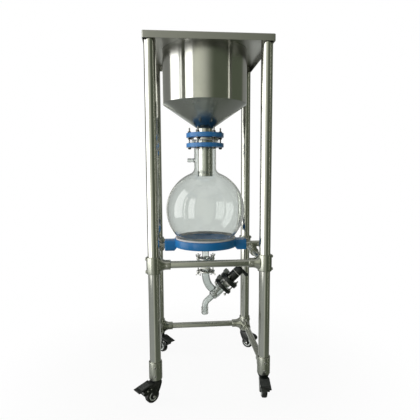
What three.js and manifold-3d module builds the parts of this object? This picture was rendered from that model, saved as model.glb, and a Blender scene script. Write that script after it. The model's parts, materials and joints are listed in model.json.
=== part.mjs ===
// A wheeled vacuum filtration stand: a stainless filter funnel hangs in the top plate of a tube
// frame, and its spout drains into a round glass receiver that sits in a blue support ring. A glass
// drain valve with a turning handle hangs below the receiver, and the frame rolls on four casters.
// Millimetres, +Z up. X runs to the right and Y to the back of the frame. The frame's own centre is
// the working origin, and the last lines move the model so that its footprint is centred on z = 0.
import * as THREE from 'three';
import { mergeVertices } from 'three/addons/utils/BufferGeometryUtils.js';
import Module from 'manifold-3d';

const wasm = await Module();
wasm.setup();

// ---------------------------------------------------------------- driving dimensions
const GAP = 0.3; // clearance between neighbouring solids

const POST = { half: 250, radius: 25.4, wall: 2, low: 122, high: 1620.7 };
const PLATE = { half: 280, top: 1623, thick: 2, skirt: 30, holeRadius: 206.2 };
const RAIL = { radius: 16, wall: 1.6, start: 40 };
const MID = { height: 633, sleeveRadius: 32, sleeveHeight: 76 };
const LOW = { height: 145, sleeveRadius: 30, bottom: 107, top: 189, floor: 14 };
const LEG = { radius: 22, reach: 75, boreStart: 37 };
const BORE_PLAY = 0.4; // how much wider a clamp's bore is than the tube in it

const FUNNEL = {
  radius: 205, wall: 2, rimRadius: 219, rimTop: 1630, junction: 1370, coneBottom: 1254,
  spoutRadius: 38, spoutWall: 1.5, spoutEnd: 1019, ledgeInner: 190, ledgeTop: 1378,
  discRadius: 68.5, discLow: 1199, discHigh: 1209.2,
};
const FILTER = { radius: 201, thick: 4, rings: [0, 70, 140], holeRadius: 9, holesPerRing: 6 };
const PRESS_RING = { inner: 184, outer: 201, thick: 8 };
const CLAMP_PAIR = {
  radius: 93, upperInner: 46, lowerInner: 58.5, upperLow: 1210, upperHigh: 1232,
  lowerLow: 1162, lowerHigh: 1182,
};
const FLANGE_BOLT = {
  count: 6, circle: 77, radius: 4, nutRadius: 7, bottom: 1152, top: 1258, nutHeight: 7.7,
};

const FLASK = {
  centre: 852, radius: 196, wall: 5, neckRadius: 55, neckTop: 1195.7, beadRadius: 67,
  beadLow: 1182.3, shoulder: 30, outletRadius: 18, outletWall: 3.5, outletFillet: 12,
  outletBeadRadius: 26, outletBeadHigh: 594.7, outletEnd: 586,
};
const NOZZLE = { height: 1099, radius: 10.5, bore: 7, tip: 88 };
const NECK_GASKET = { inner: 50, outer: 66, low: 1196, high: 1198.7 };

const RING = { inner: 141, outer: 190, low: 677, high: 711 };
const PAD = { inner: 138.2, outer: 152, skirt: 8, thick: 3, lead: 2.2 };
const LUG = { inner: 150, outer: 206, half: 38, low: 650, high: 700, chamfer: 10, bevel: 3 };
const ARM = { radius: 10, height: 672, inner: 172, outer: 283, socket: 168 };
const CROSS = { radius: 22, half: 25, barRadius: 15, barInner: 232, barOuter: 282, webHalf: 12 };

const COUPLING = {
  radius: 39, bore: 19.5, lobeRadius: 9, lobeCentre: 38, thick: 8, upperLow: 595, lowerLow: 530,
  boltHole: 4,
};
const BELLOWS = { radius: 26, bore: 14, low: 547.3, high: 585.7, ribs: 3, groove: 5 };

const VALVE = {
  lowEnd: new THREE.Vector3(31.7, 0, 399), elevation: 43.5, barrelRadius: 24, lowRadius: 21,
  bore: 19, barrelTop: 100, beadRadius: 28, beadLow: 87, armRadius: 18, armBore: 14,
  armTop: 547, armBeadRadius: 26, armBeadLow: 538.3, outletRadius: 16, outletBore: 11.5,
  outletX: -5, outletEnd: 305, barbRadius: 18, barbTip: 14.5, barbRoot: 15.5,
  barbHeights: [318, 326, 336, 344], routeSteps: 10,
};
const VALVE_FLANGE = { radius: 52.5, lowerLow: 69.5, lowerHigh: 86.5, upperLow: 111, upperHigh: 133 };
const VALVE_BOLTS = { count: 3, circle: 41, hole: 4 };
const VALVE_SEAL = { top: 110.7, spigotRadius: 18.5, spigotLow: 84, bore: 8.5 };
const BONNET = { radius: 24.5, spigot: 19.6, top: 178 };
const KNOB = {
  radius: 24.5, low: 178.4, high: 206, bore: 9.5, boreTop: 200, barRadius: 8.5, barHalf: 55,
};
const PLUNGER = { headRadius: 15, headLow: 9, headHigh: 24, rodRadius: 8, top: 184 };

const WHEEL = { radius: 33, halfWidth: 13.5, trail: 22, hubRadius: 21, hubRecess: 4, bore: 4.4 };
const FORK = {
  halfWidth: 20, slotHalf: 15, slotRadius: 36.5, capRadius: 26, capLow: 97, capHigh: 106.7,
  stemRadius: 6, stemTop: 119, axleRadius: 4,
};
const PEDAL = { pivot: [39, 76], halfWidth: 23, earInner: 20.6, thick: 5 };

// The way each caster trails, in degrees about +Z from +X. The last one has no brake.
const CORNERS = [
  { name: 'front_left', x: -1, y: -1, trails: 217, brake: true },
  { name: 'front_right', x: 1, y: -1, trails: 265, brake: true },
  { name: 'rear_left', x: -1, y: 1, trails: -48, brake: true },
  { name: 'rear_right', x: 1, y: 1, trails: -35, brake: false },
];

const ROUND = { small: 8, rod: 12, rail: 12, post: 16, flange: 24, drum: 36 };

// ---------------------------------------------------------------- finishes
const POLISHED = { color: 0xb9bab2, roughness: 0.2, metalness: 1 };
const BRUSHED = { color: 0x9a9b92, roughness: 0.35, metalness: 1 };
const SHEET = { color: 0x83847c, roughness: 0.45, metalness: 1 };
const BLUE = { color: 0x1f6fb5, roughness: 0.4, metalness: 0 };
const BLACK = { color: 0x101413, roughness: 0.45, metalness: 0 };
const TYRE = { color: 0x080808, roughness: 0.6, metalness: 0 };
const GLASS = { color: 0xdfe6e4, roughness: 0.05, metalness: 0, transparent: true, opacity: 0.35 };
const PTFE = { color: 0xf0f0ea, roughness: 0.5, metalness: 0 };
const SILICONE = { color: 0xd8dcda, roughness: 0.6, metalness: 0 };

// ---------------------------------------------------------------- solids
// Six times the signed volume under a triangle list: negative when the faces point inwards.
function signedVolume(position, index) {
  const [a, b, c] = [0, 1, 2].map(() => new THREE.Vector3());
  let sum = 0;
  for (let i = 0; i < index.length; i += 3) {
    a.fromBufferAttribute(position, index[i]);
    b.fromBufferAttribute(position, index[i + 1]);
    c.fromBufferAttribute(position, index[i + 2]);
    sum += a.dot(b.cross(c));
  }
  return sum;
}

// Joins shared corners, drops triangles that have no area left and turns the faces outwards.
function weld(geometry) {
  geometry.deleteAttribute('normal');
  geometry.deleteAttribute('uv');
  const merged = mergeVertices(geometry, 1e-3);
  const index = [];
  for (let i = 0; i < merged.index.count; i += 3) {
    const [a, b, c] = [0, 1, 2].map((k) => merged.index.getX(i + k));
    if (a !== b && b !== c && c !== a) index.push(a, b, c);
  }
  if (signedVolume(merged.attributes.position, index) < 0) index.reverse();
  merged.setIndex(index);
  merged.computeVertexNormals();
  return merged;
}

function toManifold(geometry) {
  const vertProperties = new Float32Array(geometry.attributes.position.array);
  const triVerts = new Uint32Array(geometry.index.array);
  return new wasm.Manifold(new wasm.Mesh({ numProp: 3, vertProperties, triVerts }));
}

function fromManifold(manifold) {
  const { vertProperties, triVerts } = manifold.getMesh();
  const geometry = new THREE.BufferGeometry();
  geometry.setAttribute('position', new THREE.BufferAttribute(new Float32Array(vertProperties), 3));
  geometry.setIndex(Array.from(triVerts));
  return weld(geometry);
}

// The union of the first list, less every solid of the second.
function build(added, removed = []) {
  let body = toManifold(added[0]);
  for (const extra of added.slice(1)) body = body.add(toManifold(extra));
  for (const cut of removed) body = body.subtract(toManifold(cut));
  return fromManifold(body);
}

// A profile of [radius, height] points turned about Z.
function turned(profile, segments) {
  const points = profile.map(([radius, height]) => new THREE.Vector2(radius, height));
  return weld(new THREE.LatheGeometry(points, segments).rotateX(Math.PI / 2));
}

function rod(radius, low, high, segments) {
  return turned([[0, low], [radius, low], [radius, high], [0, high]], segments);
}

function tube(outer, inner, low, high, segments) {
  return turned([[inner, low], [outer, low], [outer, high], [inner, high], [inner, low]], segments);
}

// Lays a solid that was made about Z along +X or +Y.
const alongX = (geometry) => geometry.rotateY(Math.PI / 2);
const alongY = (geometry) => geometry.rotateX(-Math.PI / 2);

function block(low, high) {
  const size = high.map((value, i) => value - low[i]);
  const centre = high.map((value, i) => (value + low[i]) / 2);
  return weld(new THREE.BoxGeometry(...size).translate(...centre));
}

// A side outline of [x, z] points, as wide as 2 * half across Y.
function plate(outline, half) {
  const shape = new THREE.Shape(outline.map(([x, z]) => new THREE.Vector2(x, z)));
  const flat = new THREE.ExtrudeGeometry(shape, { depth: 2 * half, bevelEnabled: false });
  return weld(flat.rotateX(Math.PI / 2).translate(0, half, 0));
}

// A round bar that follows a curve through [x, z] points in the XZ plane.
function bentBar(points, radius, steps, segments) {
  const curve = new THREE.CatmullRomCurve3(points.map(([x, z]) => new THREE.Vector3(x, 0, z)));
  const circle = new THREE.Shape();
  circle.absarc(0, 0, radius, 0, 2 * Math.PI);
  const options = { steps, curveSegments: segments / 2, extrudePath: curve, bevelEnabled: false };
  return weld(new THREE.ExtrudeGeometry(circle, options));
}

// Points on an arc, from one angle to the other in degrees, measured from +radius towards +height.
function arc(centre, radius, from, to, steps) {
  return Array.from({ length: steps + 1 }, (_, i) => {
    const angle = THREE.MathUtils.degToRad(from + ((to - from) * i) / steps);
    return [centre[0] + radius * Math.cos(angle), centre[1] + radius * Math.sin(angle)];
  });
}

function piece(parent, name, geometry, finish) {
  const mesh = new THREE.Mesh(geometry, new THREE.MeshStandardMaterial(finish));
  mesh.name = name;
  parent.add(mesh);
  return mesh;
}

// ---------------------------------------------------------------- frame
function topPlate() {
  const { half, top, thick, skirt, holeRadius } = PLATE;
  const inside = half - thick;
  const tray = block([-half, -half, top - skirt], [half, half, top]);
  const hollow = block([-inside, -inside, top - skirt - 1], [inside, inside, top - thick]);
  const hole = rod(holeRadius, top - skirt, top + 1, ROUND.drum);
  return build([tray], [hollow, hole]);
}

// One clamp leg with its blind bore, along +X or +Y (inwards when side is -1).
function legSolids(axis, side, height) {
  const lay = axis === 'x' ? alongX : alongY;
  const solids = [
    rod(LEG.radius, 0, LEG.reach, ROUND.rail),
    rod(RAIL.radius + BORE_PLAY, LEG.boreStart, LEG.reach + 1, ROUND.rail),
  ];
  for (const solid of solids) {
    lay(solid);
    if (side < 0) solid.rotateZ(Math.PI);
    solid.translate(0, 0, height);
  }
  return solids;
}

// A post clamp: an upright sleeve with a leg for each rail that ends at this corner.
function postClamp(sleeve, bores, legs, height) {
  const added = [sleeve];
  const removed = [...bores];
  for (const [axis, side] of legs) {
    const [leg, bore] = legSolids(axis, side, height);
    added.push(leg);
    removed.push(bore);
  }
  return build(added, removed);
}

function midClamp(corner) {
  const low = MID.height - MID.sleeveHeight / 2;
  const high = MID.height + MID.sleeveHeight / 2;
  const sleeve = rod(MID.sleeveRadius, low, high, ROUND.post);
  const bore = rod(POST.radius + BORE_PLAY, low - 1, high + 1, ROUND.post);
  return postClamp(sleeve, [bore], [['x', -corner.x], ['y', -corner.y]], MID.height);
}

function lowClamp(corner) {
  const sleeve = rod(LOW.sleeveRadius, LOW.bottom, LOW.top, ROUND.post);
  const bore = rod(POST.radius + BORE_PLAY, LOW.bottom + LOW.floor, LOW.top + 1, ROUND.post);
  const stemRadius = FORK.stemRadius + 2 * BORE_PLAY;
  const stemHole = rod(stemRadius, LOW.bottom - 1, LOW.bottom + LOW.floor + 1, ROUND.small);
  const legs = [['y', -corner.y]];
  if (corner.y > 0) legs.push(['x', -corner.x]);
  return postClamp(sleeve, [bore, stemHole], legs, LOW.height);
}

function rail() {
  const reach = POST.half - RAIL.start;
  return tube(RAIL.radius, RAIL.radius - RAIL.wall, -reach, reach, ROUND.rail);
}

function addFrame(parent) {
  const frame = new THREE.Group();
  parent.add(frame);
  piece(frame, 'top_plate', topPlate(), SHEET);
  for (const corner of CORNERS) {
    const post = tube(POST.radius, POST.radius - POST.wall, POST.low, POST.high, ROUND.post);
    const parts = [
      piece(frame, `post_${corner.name}`, post, POLISHED),
      piece(frame, `mid_clamp_${corner.name}`, midClamp(corner), BRUSHED),
      piece(frame, `low_clamp_${corner.name}`, lowClamp(corner), BRUSHED),
    ];
    for (const part of parts) part.position.set(corner.x * POST.half, corner.y * POST.half, 0);
  }
  for (const [level, height] of [['mid', MID.height], ['low', LOW.height]]) {
    for (const [side, sign] of [['left', -1], ['right', 1]]) {
      const along = piece(frame, `${level}_rail_${side}`, alongY(rail()), BRUSHED);
      along.position.set(sign * POST.half, 0, height);
    }
    const across = piece(frame, `${level}_rail_rear`, alongX(rail()), BRUSHED);
    across.position.set(0, POST.half, height);
  }
  const front = piece(frame, 'mid_rail_front', alongX(rail()), BRUSHED);
  front.position.set(0, -POST.half, MID.height);
}

// ---------------------------------------------------------------- support ring
function supportRing() {
  const { inner, outer, half, low, high, chamfer, bevel } = LUG;
  const added = [tube(RING.outer, RING.inner, RING.low, RING.high, ROUND.drum)];
  const removed = [rod(RING.inner, RING.low - 1, RING.high + 1, ROUND.drum)];
  for (const side of [-1, 1]) {
    const outline = [
      [side * inner, high], [side * inner, low + chamfer], [side * (inner + chamfer), low],
      [side * (outer - bevel), low], [side * outer, low + bevel], [side * outer, high],
    ];
    added.push(plate(outline, half));
    const socket = alongX(rod(ARM.radius + BORE_PLAY, ARM.socket, outer + 1, ROUND.rod));
    if (side < 0) socket.rotateZ(Math.PI);
    removed.push(socket.translate(0, 0, ARM.height));
  }
  return build(added, removed);
}

// The soft trim on the ring's inner edge, which the glass rests on.
function ringPad() {
  const { inner, outer, skirt, thick, lead } = PAD;
  const { high } = RING;
  const back = RING.inner - GAP;
  return turned([
    [inner, high - skirt], [back, high - skirt], [back, high + GAP], [outer, high + GAP],
    [outer, high + thick], [inner + lead, high + thick], [inner, high], [inner, high - skirt],
  ], ROUND.drum);
}

// Two crossed sleeves in one casting: the lower one grips the side rail, the upper one the ring's arm.
function crossClamp() {
  const lower = alongY(rod(CROSS.radius, -CROSS.half, CROSS.half, ROUND.rail));
  const lowerBore = alongY(rod(RAIL.radius + BORE_PLAY, -CROSS.half - 1, CROSS.half + 1, ROUND.rail));
  const rise = ARM.height - MID.height;
  const near = CROSS.barInner - POST.half;
  const far = CROSS.barOuter - POST.half;
  const upper = alongX(rod(CROSS.barRadius, near, far, ROUND.rod)).translate(0, 0, rise);
  const upperBore = alongX(rod(ARM.radius + BORE_PLAY, near - 1, far + 1, ROUND.rod));
  const webTop = rise - ARM.radius - 2;
  const webLow = RAIL.radius + 2;
  const web = block([-CROSS.webHalf, -CROSS.webHalf, webLow], [CROSS.webHalf, CROSS.webHalf, webTop]);
  return build([lower, upper, web], [lowerBore, upperBore.translate(0, 0, rise)]);
}

function addRing(parent) {
  piece(parent, 'support_ring', supportRing(), BLUE);
  piece(parent, 'ring_pad', ringPad(), SILICONE);
  for (const [name, side] of [['left', -1], ['right', 1]]) {
    const bar = alongX(rod(ARM.radius, ARM.inner, ARM.outer, ROUND.rod));
    const arm = piece(parent, `ring_arm_${name}`, bar, BRUSHED);
    const clamp = piece(parent, `cross_clamp_${name}`, crossClamp(), BRUSHED);
    arm.position.z = ARM.height;
    clamp.position.set(side * POST.half, 0, MID.height);
    if (side < 0) {
      arm.rotation.z = Math.PI;
      clamp.rotation.z = Math.PI;
    }
  }
}

// ---------------------------------------------------------------- funnel
function funnelBody() {
  const f = FUNNEL;
  const inner = f.radius - f.wall;
  const spoutInner = f.spoutRadius - f.spoutWall;
  const slope = (f.junction - f.coneBottom) / (f.radius - f.spoutRadius);
  const rise = f.wall * Math.hypot(1, slope); // the wall's thickness measured upright
  const coneInside = (radius) => f.coneBottom + (radius - f.spoutRadius) * slope + rise;
  return turned([
    [f.radius, PLATE.top + GAP], [f.rimRadius, PLATE.top + GAP], [f.rimRadius, f.rimTop], [inner, f.rimTop],
    [inner, f.ledgeTop], [f.ledgeInner, f.ledgeTop], [f.ledgeInner, coneInside(f.ledgeInner)],
    [spoutInner, coneInside(spoutInner)], [spoutInner, f.spoutEnd], [f.spoutRadius, f.spoutEnd],
    [f.spoutRadius, f.discLow], [f.discRadius, f.discLow], [f.discRadius, f.discHigh],
    [f.spoutRadius, f.discHigh], [f.spoutRadius, f.coneBottom], [f.radius, f.junction],
    [f.radius, PLATE.top + GAP],
  ], ROUND.drum);
}

function filterPlate() {
  const low = FUNNEL.ledgeTop + GAP;
  const holes = [];
  FILTER.rings.forEach((circle, ring) => {
    const count = Math.max(1, ring * FILTER.holesPerRing);
    for (let i = 0; i < count; i += 1) {
      const angle = (2 * Math.PI * i) / count;
      const hole = rod(FILTER.holeRadius, low - 1, low + FILTER.thick + 1, 6);
      holes.push(hole.translate(circle * Math.cos(angle), circle * Math.sin(angle), 0));
    }
  });
  return build([rod(FILTER.radius, low, low + FILTER.thick, ROUND.drum)], holes);
}

function boltHoles(count, circle, radius, low, high) {
  return Array.from({ length: count }, (_, i) => {
    const angle = (2 * Math.PI * i) / count;
    const hole = rod(radius, low - 1, high + 1, ROUND.small);
    return hole.rotateZ(angle).translate(circle * Math.cos(angle), circle * Math.sin(angle), 0);
  });
}

function clampFlange(inner, low, high) {
  const ring = tube(CLAMP_PAIR.radius, inner, low, high, ROUND.flange);
  const hole = FLANGE_BOLT.radius + BORE_PLAY;
  return build([ring], boltHoles(FLANGE_BOLT.count, FLANGE_BOLT.circle, hole, low, high));
}

// A threaded rod with its three nuts: below the lower flange and on both faces of the upper one.
function flangeBolt() {
  const { radius, nutRadius, bottom, top, nutHeight } = FLANGE_BOLT;
  const nutLows = [
    CLAMP_PAIR.lowerLow - GAP - nutHeight,
    CLAMP_PAIR.upperLow - GAP - nutHeight,
    CLAMP_PAIR.upperHigh + GAP,
  ];
  const steps = nutLows.flatMap((low) => {
    const high = low + nutHeight;
    return [[radius, low], [nutRadius, low], [nutRadius, high], [radius, high]];
  });
  return turned([[0, bottom], [radius, bottom], ...steps, [radius, top], [0, top]], ROUND.small);
}

function addFunnel(parent) {
  const pressLow = FUNNEL.ledgeTop + FILTER.thick + 2 * GAP;
  const { upperInner, lowerInner, upperLow, upperHigh, lowerLow, lowerHigh } = CLAMP_PAIR;
  const pressHigh = pressLow + PRESS_RING.thick;
  const pressRing = tube(PRESS_RING.outer, PRESS_RING.inner, pressLow, pressHigh, ROUND.drum);
  const { inner, outer, low, high } = NECK_GASKET;
  piece(parent, 'funnel_body', funnelBody(), POLISHED);
  piece(parent, 'filter_plate', filterPlate(), BRUSHED);
  piece(parent, 'press_ring', pressRing, BRUSHED);
  piece(parent, 'upper_flange', clampFlange(upperInner, upperLow, upperHigh), BLUE);
  piece(parent, 'lower_flange', clampFlange(lowerInner, lowerLow, lowerHigh), BLUE);
  piece(parent, 'neck_gasket', tube(outer, inner, low, high, ROUND.flange), SILICONE);
  for (let i = 0; i < FLANGE_BOLT.count; i += 1) {
    const angle = (2 * Math.PI * i) / FLANGE_BOLT.count;
    const bolt = piece(parent, `flange_bolt_${i + 1}`, flangeBolt(), BRUSHED);
    bolt.rotation.z = angle;
    bolt.position.set(FLANGE_BOLT.circle * Math.cos(angle), FLANGE_BOLT.circle * Math.sin(angle), 0);
  }
}

// ---------------------------------------------------------------- glass receiver
// The sphere with its neck and outlet, shrunk by the glass thickness for the inside.
// Each end of the sphere runs into its tube over a fillet arc that touches both.
function flaskProfile(radius, neck, shoulder, outlet, fillet) {
  const { centre } = FLASK;
  const neckAngle = THREE.MathUtils.radToDeg(Math.acos((neck + shoulder) / (radius + shoulder)));
  const outletAngle = -THREE.MathUtils.radToDeg(Math.acos((outlet + fillet) / (radius + fillet)));
  const shoulderCentre = arc([0, centre], radius + shoulder, neckAngle, neckAngle, 1)[0];
  const filletCentre = arc([0, centre], radius + fillet, outletAngle, outletAngle, 1)[0];
  return [
    ...arc(filletCentre, fillet, 180, 180 + outletAngle, 2),
    ...arc([0, centre], radius, outletAngle, neckAngle, 12).slice(1, -1),
    ...arc(shoulderCentre, shoulder, 180 + neckAngle, 180, 3),
  ];
}

function flask() {
  const f = FLASK;
  const outside = turned([
    [0, f.outletEnd], [f.outletBeadRadius, f.outletEnd], [f.outletBeadRadius, f.outletBeadHigh],
    [f.outletRadius, f.outletBeadHigh],
    ...flaskProfile(f.radius, f.neckRadius, f.shoulder, f.outletRadius, f.outletFillet),
    [f.neckRadius, f.beadLow], [f.beadRadius, f.beadLow], [f.beadRadius, f.neckTop], [0, f.neckTop],
  ], ROUND.flange);
  const neckInner = f.neckRadius - f.wall;
  const outletInner = f.outletRadius - f.outletWall;
  const innerShoulder = f.shoulder + f.wall;
  const innerFillet = f.outletFillet + f.wall;
  const inside = turned([
    [0, f.outletEnd - 1], [outletInner, f.outletEnd - 1],
    ...flaskProfile(f.radius - f.wall, neckInner, innerShoulder, outletInner, innerFillet),
    [neckInner, f.neckTop + 1], [0, f.neckTop + 1],
  ], ROUND.flange);
  const nozzle = alongX(rod(NOZZLE.radius, -NOZZLE.tip, -neckInner, ROUND.rod));
  const nozzleBore = alongX(rod(NOZZLE.bore, -NOZZLE.tip - 1, -neckInner + f.wall, ROUND.rod));
  nozzle.translate(0, 0, NOZZLE.height);
  nozzleBore.translate(0, 0, NOZZLE.height);
  return build([outside, nozzle], [inside, nozzleBore]);
}

// ---------------------------------------------------------------- outlet coupling
function couplingRing(low) {
  const { radius, bore, lobeRadius, lobeCentre, thick, boltHole } = COUPLING;
  const high = low + thick;
  const lobes = [-lobeCentre, lobeCentre].map((x) => {
    return rod(lobeRadius, low, high, ROUND.rod).translate(x, 0, 0);
  });
  const holes = boltHoles(2, lobeCentre, boltHole, low, high);
  const middleHole = rod(bore, low - 1, high + 1, ROUND.rail);
  return build([rod(radius, low, high, ROUND.flange), ...lobes], [middleHole, ...holes]);
}

function bellows() {
  const { radius, bore, low, high, ribs, groove } = BELLOWS;
  const pitch = (high - low) / (2 * ribs - 1);
  const outline = Array.from({ length: 2 * ribs - 1 }, (_, i) => {
    const face = i % 2 === 0 ? radius : radius - groove;
    return [[face, low + i * pitch], [face, low + (i + 1) * pitch]];
  });
  return turned([[bore, low], ...outline.flat(), [bore, high], [bore, low]], ROUND.rail);
}

function addCoupling(parent) {
  piece(parent, 'outlet_clamp_upper', couplingRing(COUPLING.upperLow), BRUSHED);
  piece(parent, 'outlet_clamp_lower', couplingRing(COUPLING.lowerLow), BRUSHED);
  piece(parent, 'outlet_bellows', bellows(), PTFE);
}

// ---------------------------------------------------------------- drain valve
const valveTurn = THREE.MathUtils.degToRad(90 - VALVE.elevation);

// The glass body: a barrel on the tilted axis, an inlet arm from above and a hose outlet below.
function valveBody() {
  const v = VALVE;
  const onAxis = (along) => {
    const angle = THREE.MathUtils.degToRad(v.elevation);
    return [v.lowEnd.x + along * Math.cos(angle), v.lowEnd.z + along * Math.sin(angle)];
  };
  const place = (solid) => solid.rotateY(valveTurn).translate(v.lowEnd.x, 0, v.lowEnd.z);
  // Both routes are lists of x and z: the arm enters the barrel's side, the outlet leaves its low end.
  const armRoute = [[0, v.armTop - 2], [0, 505], [7, 474], [23.5, 449.5], [45, 428], onAxis(30)];
  const barbStart = [v.outletX, v.outletEnd + 20];
  const outletRoute = [onAxis(8), onAxis(-18), [1, 370], [v.outletX, 352], barbStart];
  const barrel = turned([
    [0, 0], [v.lowRadius - 3, 0], [v.lowRadius, 3], [v.barrelRadius, v.beadLow - 32],
    [v.barrelRadius, v.beadLow], [v.beadRadius, v.beadLow], [v.beadRadius, v.barrelTop], [0, v.barrelTop],
  ], ROUND.post);
  const [firstBarb, firstRoot, secondBarb, secondRoot] = v.barbHeights;
  const barb = turned([
    [0, v.outletEnd], [v.barbTip, v.outletEnd], [v.barbRadius, firstBarb], [v.barbRoot, firstRoot],
    [v.barbRadius, secondBarb], [v.barbRoot, secondRoot], [0, secondRoot],
  ], ROUND.rod);
  const inletBead = rod(v.armBeadRadius, v.armBeadLow, v.armTop, ROUND.rail);
  const barrelBore = rod(v.bore, 7, v.barrelTop + 1, ROUND.post);
  const added = [
    place(barrel), bentBar(armRoute, v.armRadius, v.routeSteps, ROUND.rail), inletBead,
    bentBar(outletRoute, v.outletRadius, v.routeSteps, ROUND.rail), barb.translate(v.outletX, 0, 0),
  ];
  const removed = [
    place(barrelBore), bentBar(armRoute, v.armBore, v.routeSteps, ROUND.rod),
    rod(v.armBore, v.armTop - 4, v.armTop + 1, ROUND.rod),
    bentBar(outletRoute, v.outletBore, v.routeSteps, ROUND.rod),
    rod(v.outletBore, v.outletEnd - 1, v.outletEnd + 22, ROUND.rod).translate(v.outletX, 0, 0),
  ];
  return build(added, removed);
}

function valveFlange(inner, low, high) {
  const ring = tube(VALVE_FLANGE.radius, inner, low, high, ROUND.flange);
  return build([ring], boltHoles(VALVE_BOLTS.count, VALVE_BOLTS.circle, VALVE_BOLTS.hole, low, high));
}

function valveSeal() {
  const { top, spigotRadius, spigotLow, bore } = VALVE_SEAL;
  const low = VALVE.barrelTop + GAP;
  return turned([
    [bore, spigotLow], [spigotRadius, spigotLow], [spigotRadius, low], [VALVE.beadRadius, low],
    [VALVE.beadRadius, top], [bore, top], [bore, spigotLow],
  ], ROUND.post);
}

function valveBonnet() {
  const low = VALVE_FLANGE.upperLow;
  const shoulder = VALVE_FLANGE.upperHigh + GAP;
  return turned([
    [VALVE_SEAL.bore, low], [BONNET.spigot, low], [BONNET.spigot, shoulder], [BONNET.radius, shoulder],
    [BONNET.radius, BONNET.top], [VALVE_SEAL.bore, BONNET.top], [VALVE_SEAL.bore, low],
  ], ROUND.post);
}

function valveKnob() {
  const hub = rod(KNOB.radius, KNOB.low, KNOB.high, ROUND.post);
  const bar = alongX(rod(KNOB.barRadius, -KNOB.barHalf, KNOB.barHalf, ROUND.rod));
  const bore = rod(KNOB.bore, KNOB.low - 1, KNOB.boreTop, ROUND.rod);
  return build([hub, bar.translate(0, 0, KNOB.high)], [bore]);
}

function valvePlunger() {
  const { headRadius, headLow, headHigh, rodRadius, top } = PLUNGER;
  return turned([
    [0, headLow], [headRadius - 4, headLow], [headRadius, headLow + 6], [headRadius, headHigh],
    [rodRadius, headHigh + 5], [rodRadius, top], [0, top],
  ], ROUND.rod);
}

function addValve(parent) {
  piece(parent, 'valve_body', valveBody(), GLASS);
  const axisGroup = new THREE.Group();
  axisGroup.position.copy(VALVE.lowEnd);
  axisGroup.rotation.y = valveTurn;
  parent.add(axisGroup);
  const { lowerLow, lowerHigh, upperLow, upperHigh } = VALVE_FLANGE;
  const lowerInner = VALVE.barrelRadius + 2 * BORE_PLAY;
  const upperInner = BONNET.spigot + BORE_PLAY;
  piece(axisGroup, 'valve_flange_lower', valveFlange(lowerInner, lowerLow, lowerHigh), BLACK);
  piece(axisGroup, 'valve_flange_upper', valveFlange(upperInner, upperLow, upperHigh), BLACK);
  piece(axisGroup, 'valve_seal', valveSeal(), PTFE);
  piece(axisGroup, 'valve_bonnet', valveBonnet(), BLACK);
  piece(axisGroup, 'valve_knob', valveKnob(), BLACK);
  piece(axisGroup, 'valve_plunger', valvePlunger(), PTFE);
}

// ---------------------------------------------------------------- casters
// Made about the post's axis, trailing along +X.
function casterFork() {
  const outline = [
    [-21, FORK.capLow + 1], [-21, 86], [-13, 64], [-1, 42], [10, 27], [16, 23], [26, 23], [30, 28],
    [29, 49], [33, 59], [43, 62], [54, 54], [62, 51], [72, 51], [78, 60], [76, 70], [66, 79],
    [50, 84], [32, 90.5], [22, FORK.capLow + 1],
  ];
  const axle = alongY(rod(FORK.axleRadius, -FORK.halfWidth, FORK.halfWidth, ROUND.small));
  const slot = alongY(rod(FORK.slotRadius, -FORK.slotHalf, FORK.slotHalf, ROUND.post));
  const hub = [WHEEL.trail, 0, WHEEL.radius];
  const housing = build([plate(outline, FORK.halfWidth)], [slot.translate(...hub)]);
  const cap = rod(FORK.capRadius, FORK.capLow, FORK.capHigh, ROUND.post);
  const stem = rod(FORK.stemRadius, FORK.capLow, FORK.stemTop, ROUND.small);
  return build([housing, cap, stem, axle.translate(...hub)]);
}

// A lathe shape about its own Y axis, which is the axle.
function casterWheel() {
  const { radius, halfWidth, hubRadius, hubRecess, bore } = WHEEL;
  const half = [
    [bore, halfWidth - 1], [hubRadius - 3, halfWidth - hubRecess], [hubRadius, halfWidth],
    [radius - 4, halfWidth], [radius, halfWidth - 6],
  ];
  const mirrored = half.map(([r, y]) => [r, -y]).reverse();
  const points = [...half, ...mirrored, half[0]].map(([r, y]) => new THREE.Vector2(r, y));
  return weld(new THREE.LatheGeometry(points, ROUND.post));
}

function brakePedal() {
  const { pivot, halfWidth, earInner, thick } = PEDAL;
  const upper = [[29, 99], [88, 86.5], [95, 83], [104, 84]];
  const lower = upper.map(([x, z]) => [x, z - thick]).reverse();
  const tread = plate([...upper, ...lower], halfWidth);
  const earHalf = (halfWidth - earInner) / 2;
  const ears = [-1, 1].map((side) => {
    const outline = [[31, 95], [50, 92], [pivot[0] + 8, pivot[1] - 6], [pivot[0] - 8, pivot[1] - 6]];
    return plate(outline, earHalf).translate(0, side * (earInner + earHalf), 0);
  });
  return build([tread, ...ears]);
}

function addCasters(parent) {
  for (const corner of CORNERS) {
    const caster = new THREE.Group();
    caster.position.set(corner.x * POST.half, corner.y * POST.half, 0);
    caster.rotation.z = THREE.MathUtils.degToRad(corner.trails);
    parent.add(caster);
    piece(caster, `caster_fork_${corner.name}`, casterFork(), BLACK);
    const wheel = piece(caster, `caster_wheel_${corner.name}`, casterWheel(), TYRE);
    wheel.position.set(WHEEL.trail, 0, WHEEL.radius);
    if (corner.brake) piece(caster, `brake_pedal_${corner.name}`, brakePedal(), BLACK);
  }
}

// ---------------------------------------------------------------- assembly
const model = new THREE.Group();
addFrame(model);
addRing(model);
addFunnel(model);
piece(model, 'flask', flask(), GLASS);
addCoupling(model);
addValve(model);
addCasters(model);

// The casters point different ways, so the footprint's centre is a little off the frame's centre.
const footprint = new THREE.Box3().setFromObject(model);
const middle = footprint.getCenter(new THREE.Vector3());
model.position.set(-middle.x, -middle.y, -footprint.min.z);

export default model;
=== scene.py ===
import json
import math

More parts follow.
